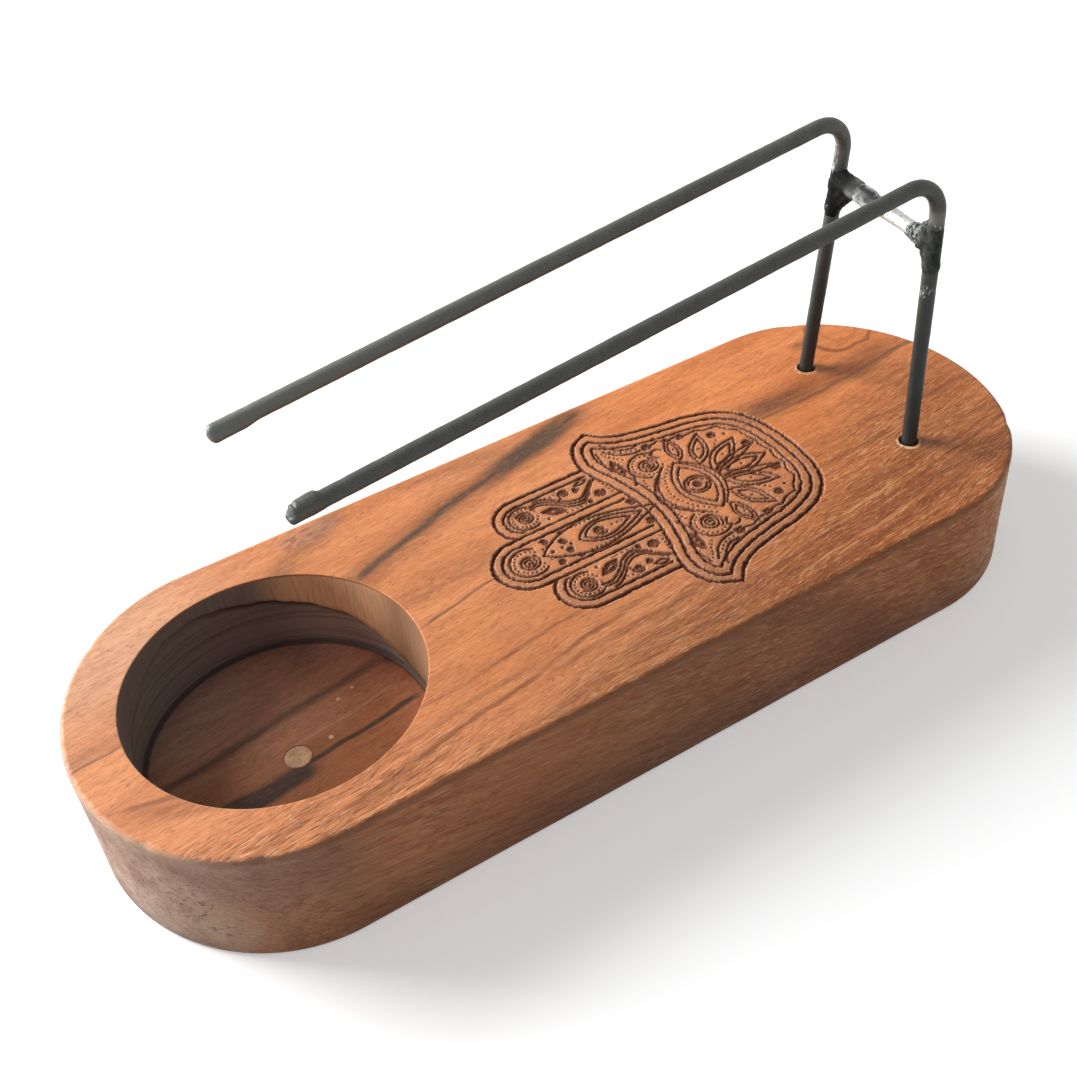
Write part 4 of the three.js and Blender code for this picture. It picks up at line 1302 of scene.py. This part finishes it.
def wood_material(settings):
    """Oiled hardwood with streaks, pores, end grain, a darker bored bowl and burnt grooves, with painted
    light and shade on the deck, the sides and the bowl.
    """
    material, tree, shader, place = start_material("oiled_hardwood")
    dark = settings.wood_dark[:]
    axes = split(tree, place)
    normal = split(tree, put(tree, "ShaderNodeTexCoord").outputs["Normal"])
    waved = wavy_place(tree, place)
    grained = put(tree, "ShaderNodeMapping", [("Vector", waved), ("Rotation", GRAIN_TILT)]).outputs[0]
    grain = place_group(tree, "wood grain", [("Place", grained)])
    fine = place_group(tree, "wood grain", [("Place", grained), ("Along", 1.7), ("Across", 2.6)])
    slant = maths(tree, "MULTIPLY_ADD", axes["X"], 0.35, times(tree, axes["Y"], -1.0))
    # The near right of the deck: darker brown, partly its own tone and partly painted shade of the light's
    # falloff; it and the near front also get coarser grain
    near_back = times(tree, spread(tree, slant, 8.0, 32.0), spread(tree, axes["X"], 62.0, 76.0, 1.0, 0.5))
    near_front = times(tree, spread(tree, axes["Y"], -16.0, -24.0), spread(tree, axes["X"], -20.0, -40.0))
    ploughed = maths(tree, "MAXIMUM", near_back, near_front)
    # Painted sheen: the deck is paled towards its far left, where gloss from the lamp falls
    far_left_sheen = times(tree, spread(tree, axes["X"], -34.0, -64.0), spread(tree, axes["Y"], -2.0, 18.0))
    dashes = flecks(tree, grained, (0.22, 2.1, 2.1), 0.58, 0.06)
    raised = flecks(tree, grained, (0.4, 3.1, -3.1), 0.6, 0.06)
    torn = near_spots(tree, stretched(tree, place, 0.6, 1.6, 1.0), [TORN_SPOT])
    pores = flecks(tree, grained, (0.5, 4.2, 4.2), 0.66)

    def growing(mask, more, least):
        """A strength that grows with a mask from its least value."""
        return maths(tree, "MULTIPLY_ADD", mask, more, least)

    tint = blend(tree, grain["Bands"], settings.wood_light[:], settings.wood_mid[:])
    tint = layered(tree, tint, [
        (near_back, 0.6, NEAR_BROWN_AND_SHADE),
        (far_left_sheen, 0.5, PALE_SHEEN_AND_WEAR),
        (grain["Lines"], growing(near_back, 0.25, 0.26), dark),
        (fine["Lines"], growing(ploughed, 0.22, 0.07), dark),
        (dashes, growing(ploughed, 0.5, 0.04), dark),
        (raised, growing(ploughed, 0.36, 0.05), PALE_PORE),
        (streak_masks(tree, waved, BROWN_STREAKS), 1, dark),
        (knot_mask(tree, waved), 1, dark),
        (streak_masks(tree, waved, DARK_STREAKS), 1, settings.streak[:]),
        (torn, 0.35, TORN_GREY),
        (times(tree, torn, flecks(tree, place, (0.7, 1.3, 1.3), 0.56, 0.05)), 0.55, dark),
        (streak_masks(tree, waved, PALE_STREAKS), 1, PALE_PORE),
        (pores, 0.38, dark),
        (flecks(tree, grained, (1.6, 4.4, 4.4), 0.7), growing(near_back, 0.3, 0.06), PALE_PORE),
        (spread(tree, grain["Fibres"], 0.62, 0.3, 0.0, 0.22), 1, dark),
        (spread(tree, grain["Fibres"], 0.5, 0.75, 0.0, 0.22), 1, PALE_PORE),
    ])
    tint = flank_tint(tree, axes, normal, tint, settings)
    tint, pits = end_grain(tree, place, axes, normal, tint, settings)
    tint, within = bowl_tint(tree, place, tint, settings)
    tint = edge_tint(tree, axes, tint)
    tint = hole_rims(tree, place, axes, tint)
    burn, haze = mark_value(tree, "burn"), mark_value(tree, "haze")
    smoke = noise(tree, place, (1.2, 3.5, 3.5), 3.0, 0.6)
    fibres = spread(tree, noise(tree, place, (2.6, 2.6, 2.6), 2.0), 0.42, 0.6)
    tint = layered(tree, tint, [
        (spread(tree, axes["X"], 0.0, 35.0), 1, BACK_WARMTH, "MULTIPLY"),
        (haze, spread(tree, smoke, 0.3, 0.7, 0.4, 0.95), HAZE_BROWN),
        # Pale fringe beside the grooves: fuzz of cut fibres and painted highlight on their edges
        (times(tree, mark_value(tree, "pale_fuzz_and_highlight"), fibres), 0.4, PALE_CHIP_AND_HIGHLIGHT),
        (burn, 0.92, settings.burn[:]),
    ])
    height = maths(tree, "SUBTRACT", times(tree, grain["Fibres"], 0.5), times(tree, pores, 0.5))
    height = maths(tree, "SUBTRACT", height, pits)
    ridges = times(tree, ploughed, maths(tree, "SUBTRACT", raised, dashes))
    emboss(tree, shader, maths(tree, "MULTIPLY_ADD", ridges, 0.9, height), 0.5, 0.1)
    gloss = strongest(tree, [spread(tree, grain["Lines"], 0.0, 1.0, 0.44, 0.6), times(tree, burn, 0.9),
                             times(tree, haze, 0.75), times(tree, within, 0.8)])
    fill(tree, shader, [("Base Color", tint), ("Roughness", gloss), ("Specular IOR Level", 0.3)])
    return material


def flank_tint(tree, axes, normal, tint, settings):
    """The block's sides: darker towards the front, partly their own tone and partly painted shade on
    sides turned from the light; browner round the near front bend and along the foot; and
    brightened with painted light round the near side of the back end."""
    flank = inverse(tree, spread(tree, normal["Z"], 0.2, 0.8))
    bend = times(tree, spread(tree, axes["X"], -73.0, -62.0), spread(tree, axes["X"], -40.0, -56.0))
    low = times(tree, flank, spread(tree, axes["Z"], 11.0, 1.0, 0.0, 0.35))
    # Painted light: the sides brightened round the near side of the back end
    back = times(tree, flank, spread(tree, axes["X"], 48.0, 66.0), spread(tree, axes["Y"], 8.0, -6.0))
    return layered(tree, tint, [
        # The sides darkened towards the front: partly their own tone, partly painted shade
        (flank, spread(tree, axes["X"], -10.0, 35.0, 0.3, 0.0), settings.wood_dark[:]),
        (flank, times(tree, bend, spread(tree, axes["Z"], 2.0, 16.0, 0.2, 0.6)), FLANK_BROWN),
        (low, maths(tree, "MULTIPLY_ADD", bend, -0.6, 1.0), settings.streak[:]),
        (back, 1, PAINTED_BACK_LIGHT, "MULTIPLY"),
    ])


def end_grain(tree, place, axes, normal, tint, settings):
    """Greyer, blotchy end grain with rows of pits on the rounded ends, and at the front a tan
    patch, a few larger pits and a grey foot. Also gives the small pits."""
    endwise = spread(tree, maths(tree, "ABSOLUTE", normal["X"]), 0.3, 0.9)
    outside = spread(tree, maths(tree, "ABSOLUTE", axes["X"]), HALF_LENGTH - 22, HALF_LENGTH - 8)
    share = times(tree, endwise, outside)
    pits = times(tree, flecks(tree, place, (0.7, 1.26, 3.64), 0.62), share)
    foot = times(tree, spread(tree, axes["Z"], 3.2, 0.6), spread(tree, axes["X"], -64.0, -70.0), share)
    large = times(tree, flecks(tree, place, (1.5, 1.5, 1.5), 0.62, 0.05), near_spots(tree, place, PITTED))
    return layered(tree, tint, [
        (share, 0.72, blend(tree, mottled(tree, place, 7.0)["Cloud"], END_GREY, END_BROWN)),
        (near_spots(tree, place, [TAN_PATCH]), 0.45, END_TAN),
        (foot, 0.5, FOOT_GREY),
        (large, 0.7, DARK_MARKS_AND_SHADE),
        (pits, 0.6, settings.wood_dark[:]),
    ]), pits


def edge_tint(tree, axes, tint):
    """The top edge: pale round the front, partly wear and partly painted highlight where it faces the
    light, with a thin dark line under it along the near side."""
    worn_and_highlit = times(tree, mark_value(tree, "edge"), spread(tree, axes["X"], -48.0, -64.0))
    under = times(tree, spread(tree, axes["Z"], TOP - 1.5, TOP - 0.9),
                  spread(tree, axes["Z"], TOP - 0.05, TOP - 0.3), spread(tree, axes["Y"], -18.0, -25.0))
    return layered(tree, tint, [(worn_and_highlit, 0.6, PALE_SHEEN_AND_WEAR), (under, 0.7, DARK_LINE_AND_HOLE_SHADE)])


def hole_rims(tree, place, axes, tint):
    """Pale chipped wood on the front side of each leg hole, and painted shade darkening the inside of the
    holes.
    """
    crescents = strongest(tree, [
        spread(tree, far_from(tree, place, (x - 0.3, y - 0.25, TOP)), 2.05, 1.7) for x, y in HOLES
    ])
    chips = spread(tree, noise(tree, place, (1.5, 1.5, 1.5), 2.0), 0.36, 0.5)
    chipped = times(tree, crescents, chips, spread(tree, axes["Z"], TOP - 0.25, TOP - 0.1))
    # Painted shade down the walls of the holes, below the deck
    inside = near_spots(tree, stretched(tree, place, 1.0, 1.0, 0.0), [((x, y, 0.0), 4.4) for x, y in HOLES])
    return layered(tree, tint, [
        (chipped, 0.75, PALE_CHIP_AND_HIGHLIGHT),
        (inside, spread(tree, axes["Z"], TOP - 0.2, TOP - 0.9, 0.0, 0.85), DARK_LINE_AND_HOLE_SHADE),
    ])


def knot_mask(tree, place):
    """The dark outline of a small knot near the back end of the deck, with a fainter ring in it."""
    flat = stretched(tree, vector_maths(tree, "ADD", place, (-66.4, -18.4, -TOP))[0], 0.72, 1.0, 0.15)
    wobble = noise(tree, place, (0.25, 0.25, 0.25), 2.0)
    far = maths(tree, "MULTIPLY_ADD", wobble, 2.4, vector_maths(tree, "LENGTH", flat)["Value"])
    rings = []
    for radius, inner, outer, strength in ((5.6, 0.12, 0.55, 0.75), (3.6, 0.1, 0.5, 0.25)):
        off = maths(tree, "ABSOLUTE", maths(tree, "SUBTRACT", far, radius))
        rings.append(spread(tree, off, inner, outer, strength, 0.0))
    return strongest(tree, rings)


def bowl_tint(tree, place, tint, settings):
    """The bored bowl, with painted light and shade: a redder floor, tinted as in shade at its far side
    and as lit near the right wall; a wall painted from shaded grey at the front to lit tan at the back
    on its smooth band, darker below it, with a painted shadow line under the band's edge; and painted
    shade in the corner and the crease. Also gives the mask of the whole bowl."""
    axes = split(tree, place)
    height = axes["Z"]
    radius = settings.bowl_radius / MM
    dx = maths(tree, "SUBTRACT", axes["X"], float(BOWL[0]))
    far = far_from(tree, stretched(tree, place, 1.0, 1.0, 0.0), (*BOWL, 0.0))
    within = times(tree, spread(tree, far, radius + 0.4, radius + 0.7, 1.0, 0.0),
                   spread(tree, height, TOP - 0.5, TOP - 0.1, 1.0, 0.0),
                   spread(tree, height, FLOOR - 0.3, FLOOR - 0.2))
    wall = times(tree, within, spread(tree, far, radius - 0.4, radius - 0.25))
    floor = maths(tree, "SUBTRACT", within, wall)
    outer_floor = times(tree, floor, spread(tree, far, radius - 8.0, radius - 1.5))
    # Painted light on the floor: its far side tinted as in shade, its near side as lit, and the outer floor
    # by the right wall brightened as lit
    facing = spread(tree, maths(tree, "MULTIPLY_ADD", dx, 0.5, times(tree, axes["Y"], -0.9)), -9.0, 8.0)
    lit_right = spread(tree, dx, 5.0, 16.0)
    band = mark_value(tree, "band")
    smooth_band = spread(tree, band, 0.7, 0.9)
    smooth_wall = times(tree, wall, smooth_band)
    rough_wall = maths(tree, "SUBTRACT", wall, smooth_wall)
    # Painted light and shade on the smooth band: shaded grey at the front, turning to tan that is lit
    # brighter towards the back
    tan = blend(tree, spread(tree, axes["Y"], 4.0, 11.0), scaled(LIT_BAND_TAN, 0.31), LIT_BAND_TAN)
    smooth = blend(tree, spread(tree, dx, 3.8, 11.5), SHADED_WALL_GREY, tan)
    # Painted shade and light on the rough lower wall: shaded grey at the front and left, lit towards the
    # right
    rough = layered(tree, scaled(SHADED_WALL_GREY, 1.15), [
        (spread(tree, dx, -15.0, 4.0), 1, SHADED_LOW_WALL),
        (lit_right, 1, LIT_WALL),
    ])
    # Painted shadow line just under the smooth band's edge
    under_band_shadow = times(tree, spread(tree, band, 0.05, 0.5), spread(tree, band, 0.95, 0.8),
                       spread(tree, dx, -10.0, 6.0), spread(tree, dx, 5.0, 16.0, 1.0, 0.75))
    # Painted shade darkening the floor's corner by the wall, and the crease where they meet
    corner = times(tree, within, spread(tree, far, radius - 4.0, radius),
                   spread(tree, height, FLOOR + 4.5, FLOOR - 0.5))
    crease_shade = times(tree, within, spread(tree, far, radius - 0.8, radius - 0.4),
                   spread(tree, height, FLOOR + 0.6, FLOOR + 0.15))
    around = times(tree, maths(tree, "ARCTAN2", axes["Y"], dx), radius)
    turned = put(tree, "ShaderNodeCombineXYZ", [("X", around), ("Y", height)]).outputs[0]
    drag = noise(tree, turned, (2.2, 0.2, 1.0), 4.0, 0.6)
    rings = noise(tree, turned, (0.02, 1.1, 1.0), 3.0, 0.6)
    return layered(tree, tint, [
        (floor, 1, blend(tree, facing, SHADED_FAR_FLOOR, LIT_NEAR_FLOOR), "MULTIPLY"),
        (wall, 0.9, blend(tree, smooth_band, rough, smooth)),
        (wall, under_band_shadow, DARK_MARKS_AND_SHADE),
        (corner, spread(tree, dx, 5.0, 14.0, 0.25, 0.0), DARK_MARKS_AND_SHADE),
        (times(tree, outer_floor, lit_right), 1, LIT_FLOOR, "MULTIPLY"),
        (near_spots(tree, place, FLOOR_SPECKS), 0.5, PALE_PORE),
        (crease_shade, spread(tree, dx, 5.0, 16.0, 0.75, 0.65), DARK_MARKS_AND_SHADE),
        (times(tree, spread(tree, drag, 0.42, 0.66), smooth_wall), 0.25, settings.wood_dark[:]),
        (times(tree, spread(tree, rings, 0.48, 0.62), rough_wall), 0.35, DARK_MARKS_AND_SHADE),
    ]), within


def plug_material():
    """End grain of a pale plug: soft rings and dark pores."""
    material, tree, shader, place = start_material("plug_end_grain")
    mottle = mottled(tree, place, 1.6)
    tint = layered(tree, PLUG_BROWN, [
        (mottle["Cloud"], 1, PLUG_TAN),
        (flecks(tree, place, (3.2, 3.2, 3.2), 0.64), 0.6, PLUG_PORE),
    ])
    emboss(tree, shader, mottle["Grit"], 0.5, 0.08)
    fill(tree, shader, [("Base Color", tint), ("Roughness", 0.65)])
    return material


LEG_DARK = (0.012, 0.024, 0.027, 1)
HEAT_TINT = (0.24, 0.24, 0.20, 1)
WELD_BLACK = (0.010, 0.012, 0.011, 1)


def wire_material(settings):
    """Drawn wire in its olive-grey mill scale, mottled, darker down the legs, with a pale heat
    tint over the right weld and bright scratches beside both welds. The far rail is painted lighter
    and the near rail darker, as lit and shaded, and the far rail lighter still towards its tip, partly
    its own paler scale and partly painted light; the tips carry a painted highlight on the left and
    painted shade on the right."""
    material, tree, shader, place = start_material("mill_scale_steel")
    steel, bright = settings.steel[:], settings.bright_steel[:]
    axes = split(tree, place)
    mottle = mottled(tree, place, 2.4)
    grit = mottle["Grit"]
    lit_far_rail = spread(tree, axes["Y"], 1.0, 3.0)
    down_leg = times(tree, spread(tree, axes["X"], 51.0, 55.0),
                     spread(tree, axes["Z"], 62.0, 34.0, 0.0, 0.75))
    left, right = bar_joint(LEFT_WIRE), bar_joint(RIGHT_WIRE)
    scorched = near_spots(tree, place, [(right + (0, 0, rise), 2.6) for rise in (1.4, -0.6, -2.6)]
                          + [(left + (0, 0, rise), 2.6) for rise in (0.4, -1.6, -3.6)])
    scratches = [(left + (-0.95, 0.35, rise), 1.15) for rise in (1.4, 2.4, 3.4, 4.6, 5.9, 7.2)]
    scratches += [(right + (-0.9, -0.5, -6.9), 1.4), (right + (-0.7, -0.9, 3.0), 0.9)]
    nicks = flecks(tree, place, (2.8, 2.8, 1.5), 0.56, 0.06)
    tint = layered(tree, steel, [
        (mottle["Cloud"], 1, scaled(steel, 0.72)),
        (spread(tree, grit, 0.5, 0.66, 0.0, 0.42), 1, scaled(steel, 1.9)),
        (spread(tree, grit, 0.5, 0.36, 0.0, 0.5), 1, scaled(steel, 0.45)),
        # Painted light: the far rail lighter and the near rail darker, and the far rail lighter still
        # towards its tip
        (1.0, 1, blend(tree, lit_far_rail, grey(0.8), grey(1.1)), "MULTIPLY"),
        (spread(tree, axes["X"], 30.0, -48.0, 0.0, 0.55), lit_far_rail, scaled(steel, 2.0)),
        (down_leg, 1, LEG_DARK),
        (near_spots(tree, place, [(right + (0.2, 0, 4.1), 2.0)]), 0.55, HEAT_TINT),
        (scorched, 0.8, WELD_BLACK),
        (nicks, near_spots(tree, place, scratches), scaled(bright, 0.75)),
        # Painted highlight on the left tip's end
        (near_spots(tree, place, [(LEFT_WIRE[-1] + (-0.5, 0.3, 0.5), 0.75)]), 1, bright),
        # Painted shade over the right tip's end, dimming its highlight
        (near_spots(tree, place, [(RIGHT_WIRE[-1] + (-0.4, 0, 0), 1.7)]), 0.55, LEG_DARK),
    ])
    emboss(tree, shader, grit, 0.6, 0.06)
    gloss = spread(tree, grit, 0.3, 0.7, 0.36, 0.58)
    fill(tree, shader, [("Base Color", tint), ("Roughness", gloss), ("Metallic", 0.3)])
    return material


def bar_material(settings):
    """The cross bar: dark weld skin with silver wipes at the left, ground nearly white at the
    right, with a few dark pits."""
    material, tree, shader, place = start_material("ground_steel")
    mottle = mottled(tree, place, 1.1)
    shown = maths(tree, "MULTIPLY_ADD", mark_value(tree, "bright"), 1.5,
                  maths(tree, "MULTIPLY_ADD", mottle["Cloud"], -0.75, 0.05), clamp=True)
    tint = layered(tree, WELD_BLACK, [
        (shown, 1, settings.bright_steel[:]),
        (flecks(tree, place, (2.2, 1.4, 2.2), 0.68), 0.8, scaled(settings.weld_steel, 0.5)),
    ])
    emboss(tree, shader, mottle["Grit"], 0.6, 0.08)
    fill(tree, shader, [("Base Color", tint), ("Metallic", times(tree, shown, 0.7)),
                        ("Roughness", spread(tree, mottle["Grit"], 0.3, 0.7, 0.28, 0.5))])
    return material


def weld_material(settings):
    """Weld beads: dark glassy scale with silver facets where the metal shows."""
    material, tree, shader, place = start_material("weld_bead")
    mottle = mottled(tree, place, 1.0)
    side = spread(tree, split(tree, place)["Y"], 0.0, 1.0)
    facets = flecks(tree, place, (2.6, 2.6, 2.6), 0.56, 0.14)
    bright = mark_value(tree, "bright")
    left = bar_joint(LEFT_WIRE)
    nicks = [(left + (-0.9, 0.6, 1.4), 0.8), (left + (0.2, -1.5, 0.9), 0.7),
             (left + (-1.0, 0.4, -4.4), 0.8)]
    shine = strongest(tree, [
        times(tree, facets, bright, 0.6),
        times(tree, bright, side, spread(tree, mottle["Cloud"], 0.0, 1.0, 0.55, 0.35)),
        times(tree, near_spots(tree, place, nicks), facets),
    ])
    tint = layered(tree, WELD_BLACK, [
        (mottle["Cloud"], 1, settings.weld_steel[:]),
        (1.0, 1, blend(tree, side, grey(2.2), grey(0.3)), "MULTIPLY"),
        (shine, 1, settings.bright_steel[:]),
    ])
    emboss(tree, shader, mottle["Grit"], 0.9, 0.12)
    fill(tree, shader, [("Base Color", tint), ("Metallic", shine), ("Specular IOR Level", 0.08),
                        ("Roughness", spread(tree, mottle["Grit"], 0.3, 0.7, 0.3, 0.6))])
    return material


# ---- Stage ----------------------------------------------------------------------------------

CAMERA_AZIMUTH, CAMERA_RISE, CAMERA_ROLL = np.radians([-27.784, 41.835, 5.516])
CAMERA_DISTANCE = 205.14
CAMERA_TARGET = np.array([-3.29, 3.50, 20.5])
FLOOR_HALF = 1.5  # in metres, as are the lamp's place and size
FLOOR_GLOW = 0.38  # lifts the floor to white where it is seen
KEY_PLACE, KEY_SIZE, KEY_AIM = (-0.36, 0.45, 0.34), 0.36, (0.0, 0.0, 0.02)


def camera_axes():
    """The camera's right, up and backward directions."""
    back = np.array([math.sin(CAMERA_AZIMUTH) * math.cos(CAMERA_RISE),
                     -math.cos(CAMERA_AZIMUTH) * math.cos(CAMERA_RISE), math.sin(CAMERA_RISE)])
    level = np.cross(-back, (0, 0, 1))
    level /= np.linalg.norm(level)
    down = np.cross(-back, level)
    right = math.cos(CAMERA_ROLL) * level + math.sin(CAMERA_ROLL) * down
    below = -math.sin(CAMERA_ROLL) * level + math.cos(CAMERA_ROLL) * down
    return right, -below, back


def seen_rays(tree):
    """1 for rays from the camera and from reflections, 0 for all other light."""
    path = put(tree, "ShaderNodeLightPath").outputs
    return strongest(tree, [path["Is Camera Ray"], path["Is Glossy Ray"]])


def build_world(settings):
    """Even pale light from all round, full white where it is seen."""
    world = bpy.data.worlds.new("studio")
    world.use_nodes = True
    tree = world.node_tree
    level = put(tree, "ShaderNodeMapRange", [("Value", seen_rays(tree)), ("To Min", settings.room_light)])
    fill(tree, tree.nodes["Background"], [("Color", grey(1.0)), ("Strength", level.outputs["Result"])])
    bpy.context.scene.world = world


def build_floor(settings):
    """A pale floor that is lifted to white for the camera and keeps the object's shadow."""
    corners = np.array([(-1, -1, 0), (1, -1, 0), (1, 1, 0), (-1, 1, 0)]) * FLOOR_HALF
    mesh = bpy.data.meshes.new("studio_floor")
    mesh.from_pydata(corners.tolist(), [], [(0, 1, 2, 3)])
    material, tree, shader, place = start_material("studio_paint")
    uneven = times(tree, mottled(tree, place, 300.0)["Cloud"], 0.02)
    tint = blend(tree, uneven, settings.floor_colour[:], grey(0.8))
    fill(tree, shader, [("Base Color", tint), ("Roughness", 0.9), ("Specular IOR Level", 0.1)])
    glow = put(tree, "ShaderNodeEmission", [("Strength", times(tree, seen_rays(tree), FLOOR_GLOW))])
    both = put(tree, "ShaderNodeAddShader", [(0, shader.outputs[0]), (1, glow.outputs[0])])
    tree.links.new(both.outputs[0], tree.nodes["Material Output"].inputs["Surface"])
    mesh.materials.append(material)
    place_object(mesh, "studio_floor")


def build_lamp(name, place, power, size):
    """A square lamp that faces the middle of the object."""
    lamp = bpy.data.lights.new(name, "AREA")
    lamp.energy = power
    lamp.size = size
    aim = (Vector(KEY_AIM) - Vector(place)).to_track_quat("-Z", "Y").to_matrix().to_4x4()
    place_object(lamp, name, Matrix.Translation(place) @ aim)


def build_camera(settings):
    """The camera at the photograph's angle."""
    data = bpy.data.cameras.new("camera")
    data.sensor_fit = "HORIZONTAL"
    data.sensor_width = 36.0
    data.lens = settings.lens
    data.clip_start = 0.01
    right, up, back = camera_axes()
    spot = (CAMERA_TARGET + back * CAMERA_DISTANCE) * MM
    matrix = Matrix([[right[i], up[i], back[i], spot[i]] for i in range(3)] + [[0, 0, 0, 1]])
    bpy.context.scene.camera = place_object(data, "camera", matrix)


# ---- Operators ------------------------------------------------------------------------------


class BURNER_OT_stage(bpy.types.Operator):
    """Sets up the camera, the pale floor and the soft light"""

    bl_idname = "burner.stage"
    bl_label = "Studio"

    def execute(self, context):
        settings = context.scene.burner_stage
        context.scene.view_settings.view_transform = "Standard"
        build_world(settings)
        build_floor(settings)
        build_lamp("key_light", KEY_PLACE, settings.key_power, KEY_SIZE)
        build_camera(settings)
        return {"FINISHED"}


class BURNER_OT_block(bpy.types.Operator):
    """Makes the hardwood block with its bowl, leg holes and engraved hamsa"""

    bl_idname = "burner.block"
    bl_label = "Carved block"

    def execute(self, context):
        settings = context.scene.burner_block
        patches, marks = block_patches(settings)
        finish = wood_material(settings)
        add_piece("carved_block", patches, finish, BASE, ["wooden_base"], marks)
        return {"FINISHED"}


class BURNER_OT_plug(bpy.types.Operator):
    """Makes the pale plug in the bowl's floor"""

    bl_idname = "burner.plug"
    bl_label = "Bowl plug"

    def execute(self, context):
        add_piece("end_grain_plug", plug_patches(), plug_material(), BASE, ["bowl_plug"])
        return {"FINISHED"}


class BURNER_OT_wires(bpy.types.Operator):
    """Makes the two bent wires: legs and rails"""

    bl_idname = "burner.wires"
    bl_label = "Bent wires"

    def execute(self, context):
        settings = context.scene.burner_stand
        finish = wire_material(settings)
        patches = wire_patches(LEFT_WIRE, settings, False)
        add_piece("left_bent_wire", patches, finish, STAND, ["left_rod"])
        patches = wire_patches(RIGHT_WIRE, settings, True)
        add_piece("right_bent_wire", patches, finish, STAND, ["right_rod"])
        return {"FINISHED"}


class BURNER_OT_cross_bar(bpy.types.Operator):
    """Makes the cross bar between the legs"""

    bl_idname = "burner.cross_bar"
    bl_label = "Cross bar"

    def execute(self, context):
        settings = context.scene.burner_stand
        patches, marks = bar_patches(settings)
        finish = bar_material(settings)
        add_piece("ground_cross_bar", patches, finish, STAND, ["cross_bar"], marks)
        return {"FINISHED"}


class BURNER_OT_welds(bpy.types.Operator):
    """Makes the weld beads that join the bar to the legs"""

    bl_idname = "burner.welds"
    bl_label = "Weld beads"

    def execute(self, context):
        finish = weld_material(context.scene.burner_stand)
        patches, marks = weld_patches(LEFT_WIRE, RIGHT_WIRE, False)
        add_piece("left_weld_bead", patches, finish, STAND, ["left_weld"], marks)
        patches, marks = weld_patches(RIGHT_WIRE, LEFT_WIRE, True)
        add_piece("right_weld_bead", patches, finish, STAND, ["right_weld"], marks)
        return {"FINISHED"}


class BURNER_PT_panel(bpy.types.Panel):
    """The burner's operators and settings in the 3D view's sidebar"""

    bl_idname = "BURNER_PT_panel"
    bl_label = "Palo Santo Burner"
    bl_space_type = "VIEW_3D"
    bl_region_type = "UI"
    bl_category = "Burner"

    def draw(self, context):
        for operator in OPERATORS:
            self.layout.operator(operator.bl_idname)
        for group in SETTINGS:
            box = self.layout.box()
            settings = getattr(context.scene, group)
            for name in SETTINGS[group].__annotations__:
                box.prop(settings, name)


OPERATORS = (BURNER_OT_stage, BURNER_OT_block, BURNER_OT_plug, BURNER_OT_wires, BURNER_OT_cross_bar,
             BURNER_OT_welds)
SETTINGS = {"burner_block": BlockSettings, "burner_stand": StandSettings, "burner_stage": StageSettings}
GROUP_BUILDERS = (build_streak_group, build_grain_group, build_fleck_group, build_mottle_group)


def register():
    for kind in (*SETTINGS.values(), *OPERATORS, BURNER_PT_panel):
        bpy.utils.register_class(kind)
    for name, kind in SETTINGS.items():
        setattr(bpy.types.Scene, name, PointerProperty(type=kind))


def unregister():
    for name in SETTINGS:
        delattr(bpy.types.Scene, name)
    for kind in reversed((*SETTINGS.values(), *OPERATORS, BURNER_PT_panel)):
        bpy.utils.unregister_class(kind)


def main():
    register()
    for build in GROUP_BUILDERS:
        build()
    bpy.ops.burner.stage()
    bpy.ops.burner.block()
    bpy.ops.burner.plug()
    bpy.ops.burner.wires()
    bpy.ops.burner.cross_bar()
    bpy.ops.burner.welds()


if __name__ == "__main__":
    main()
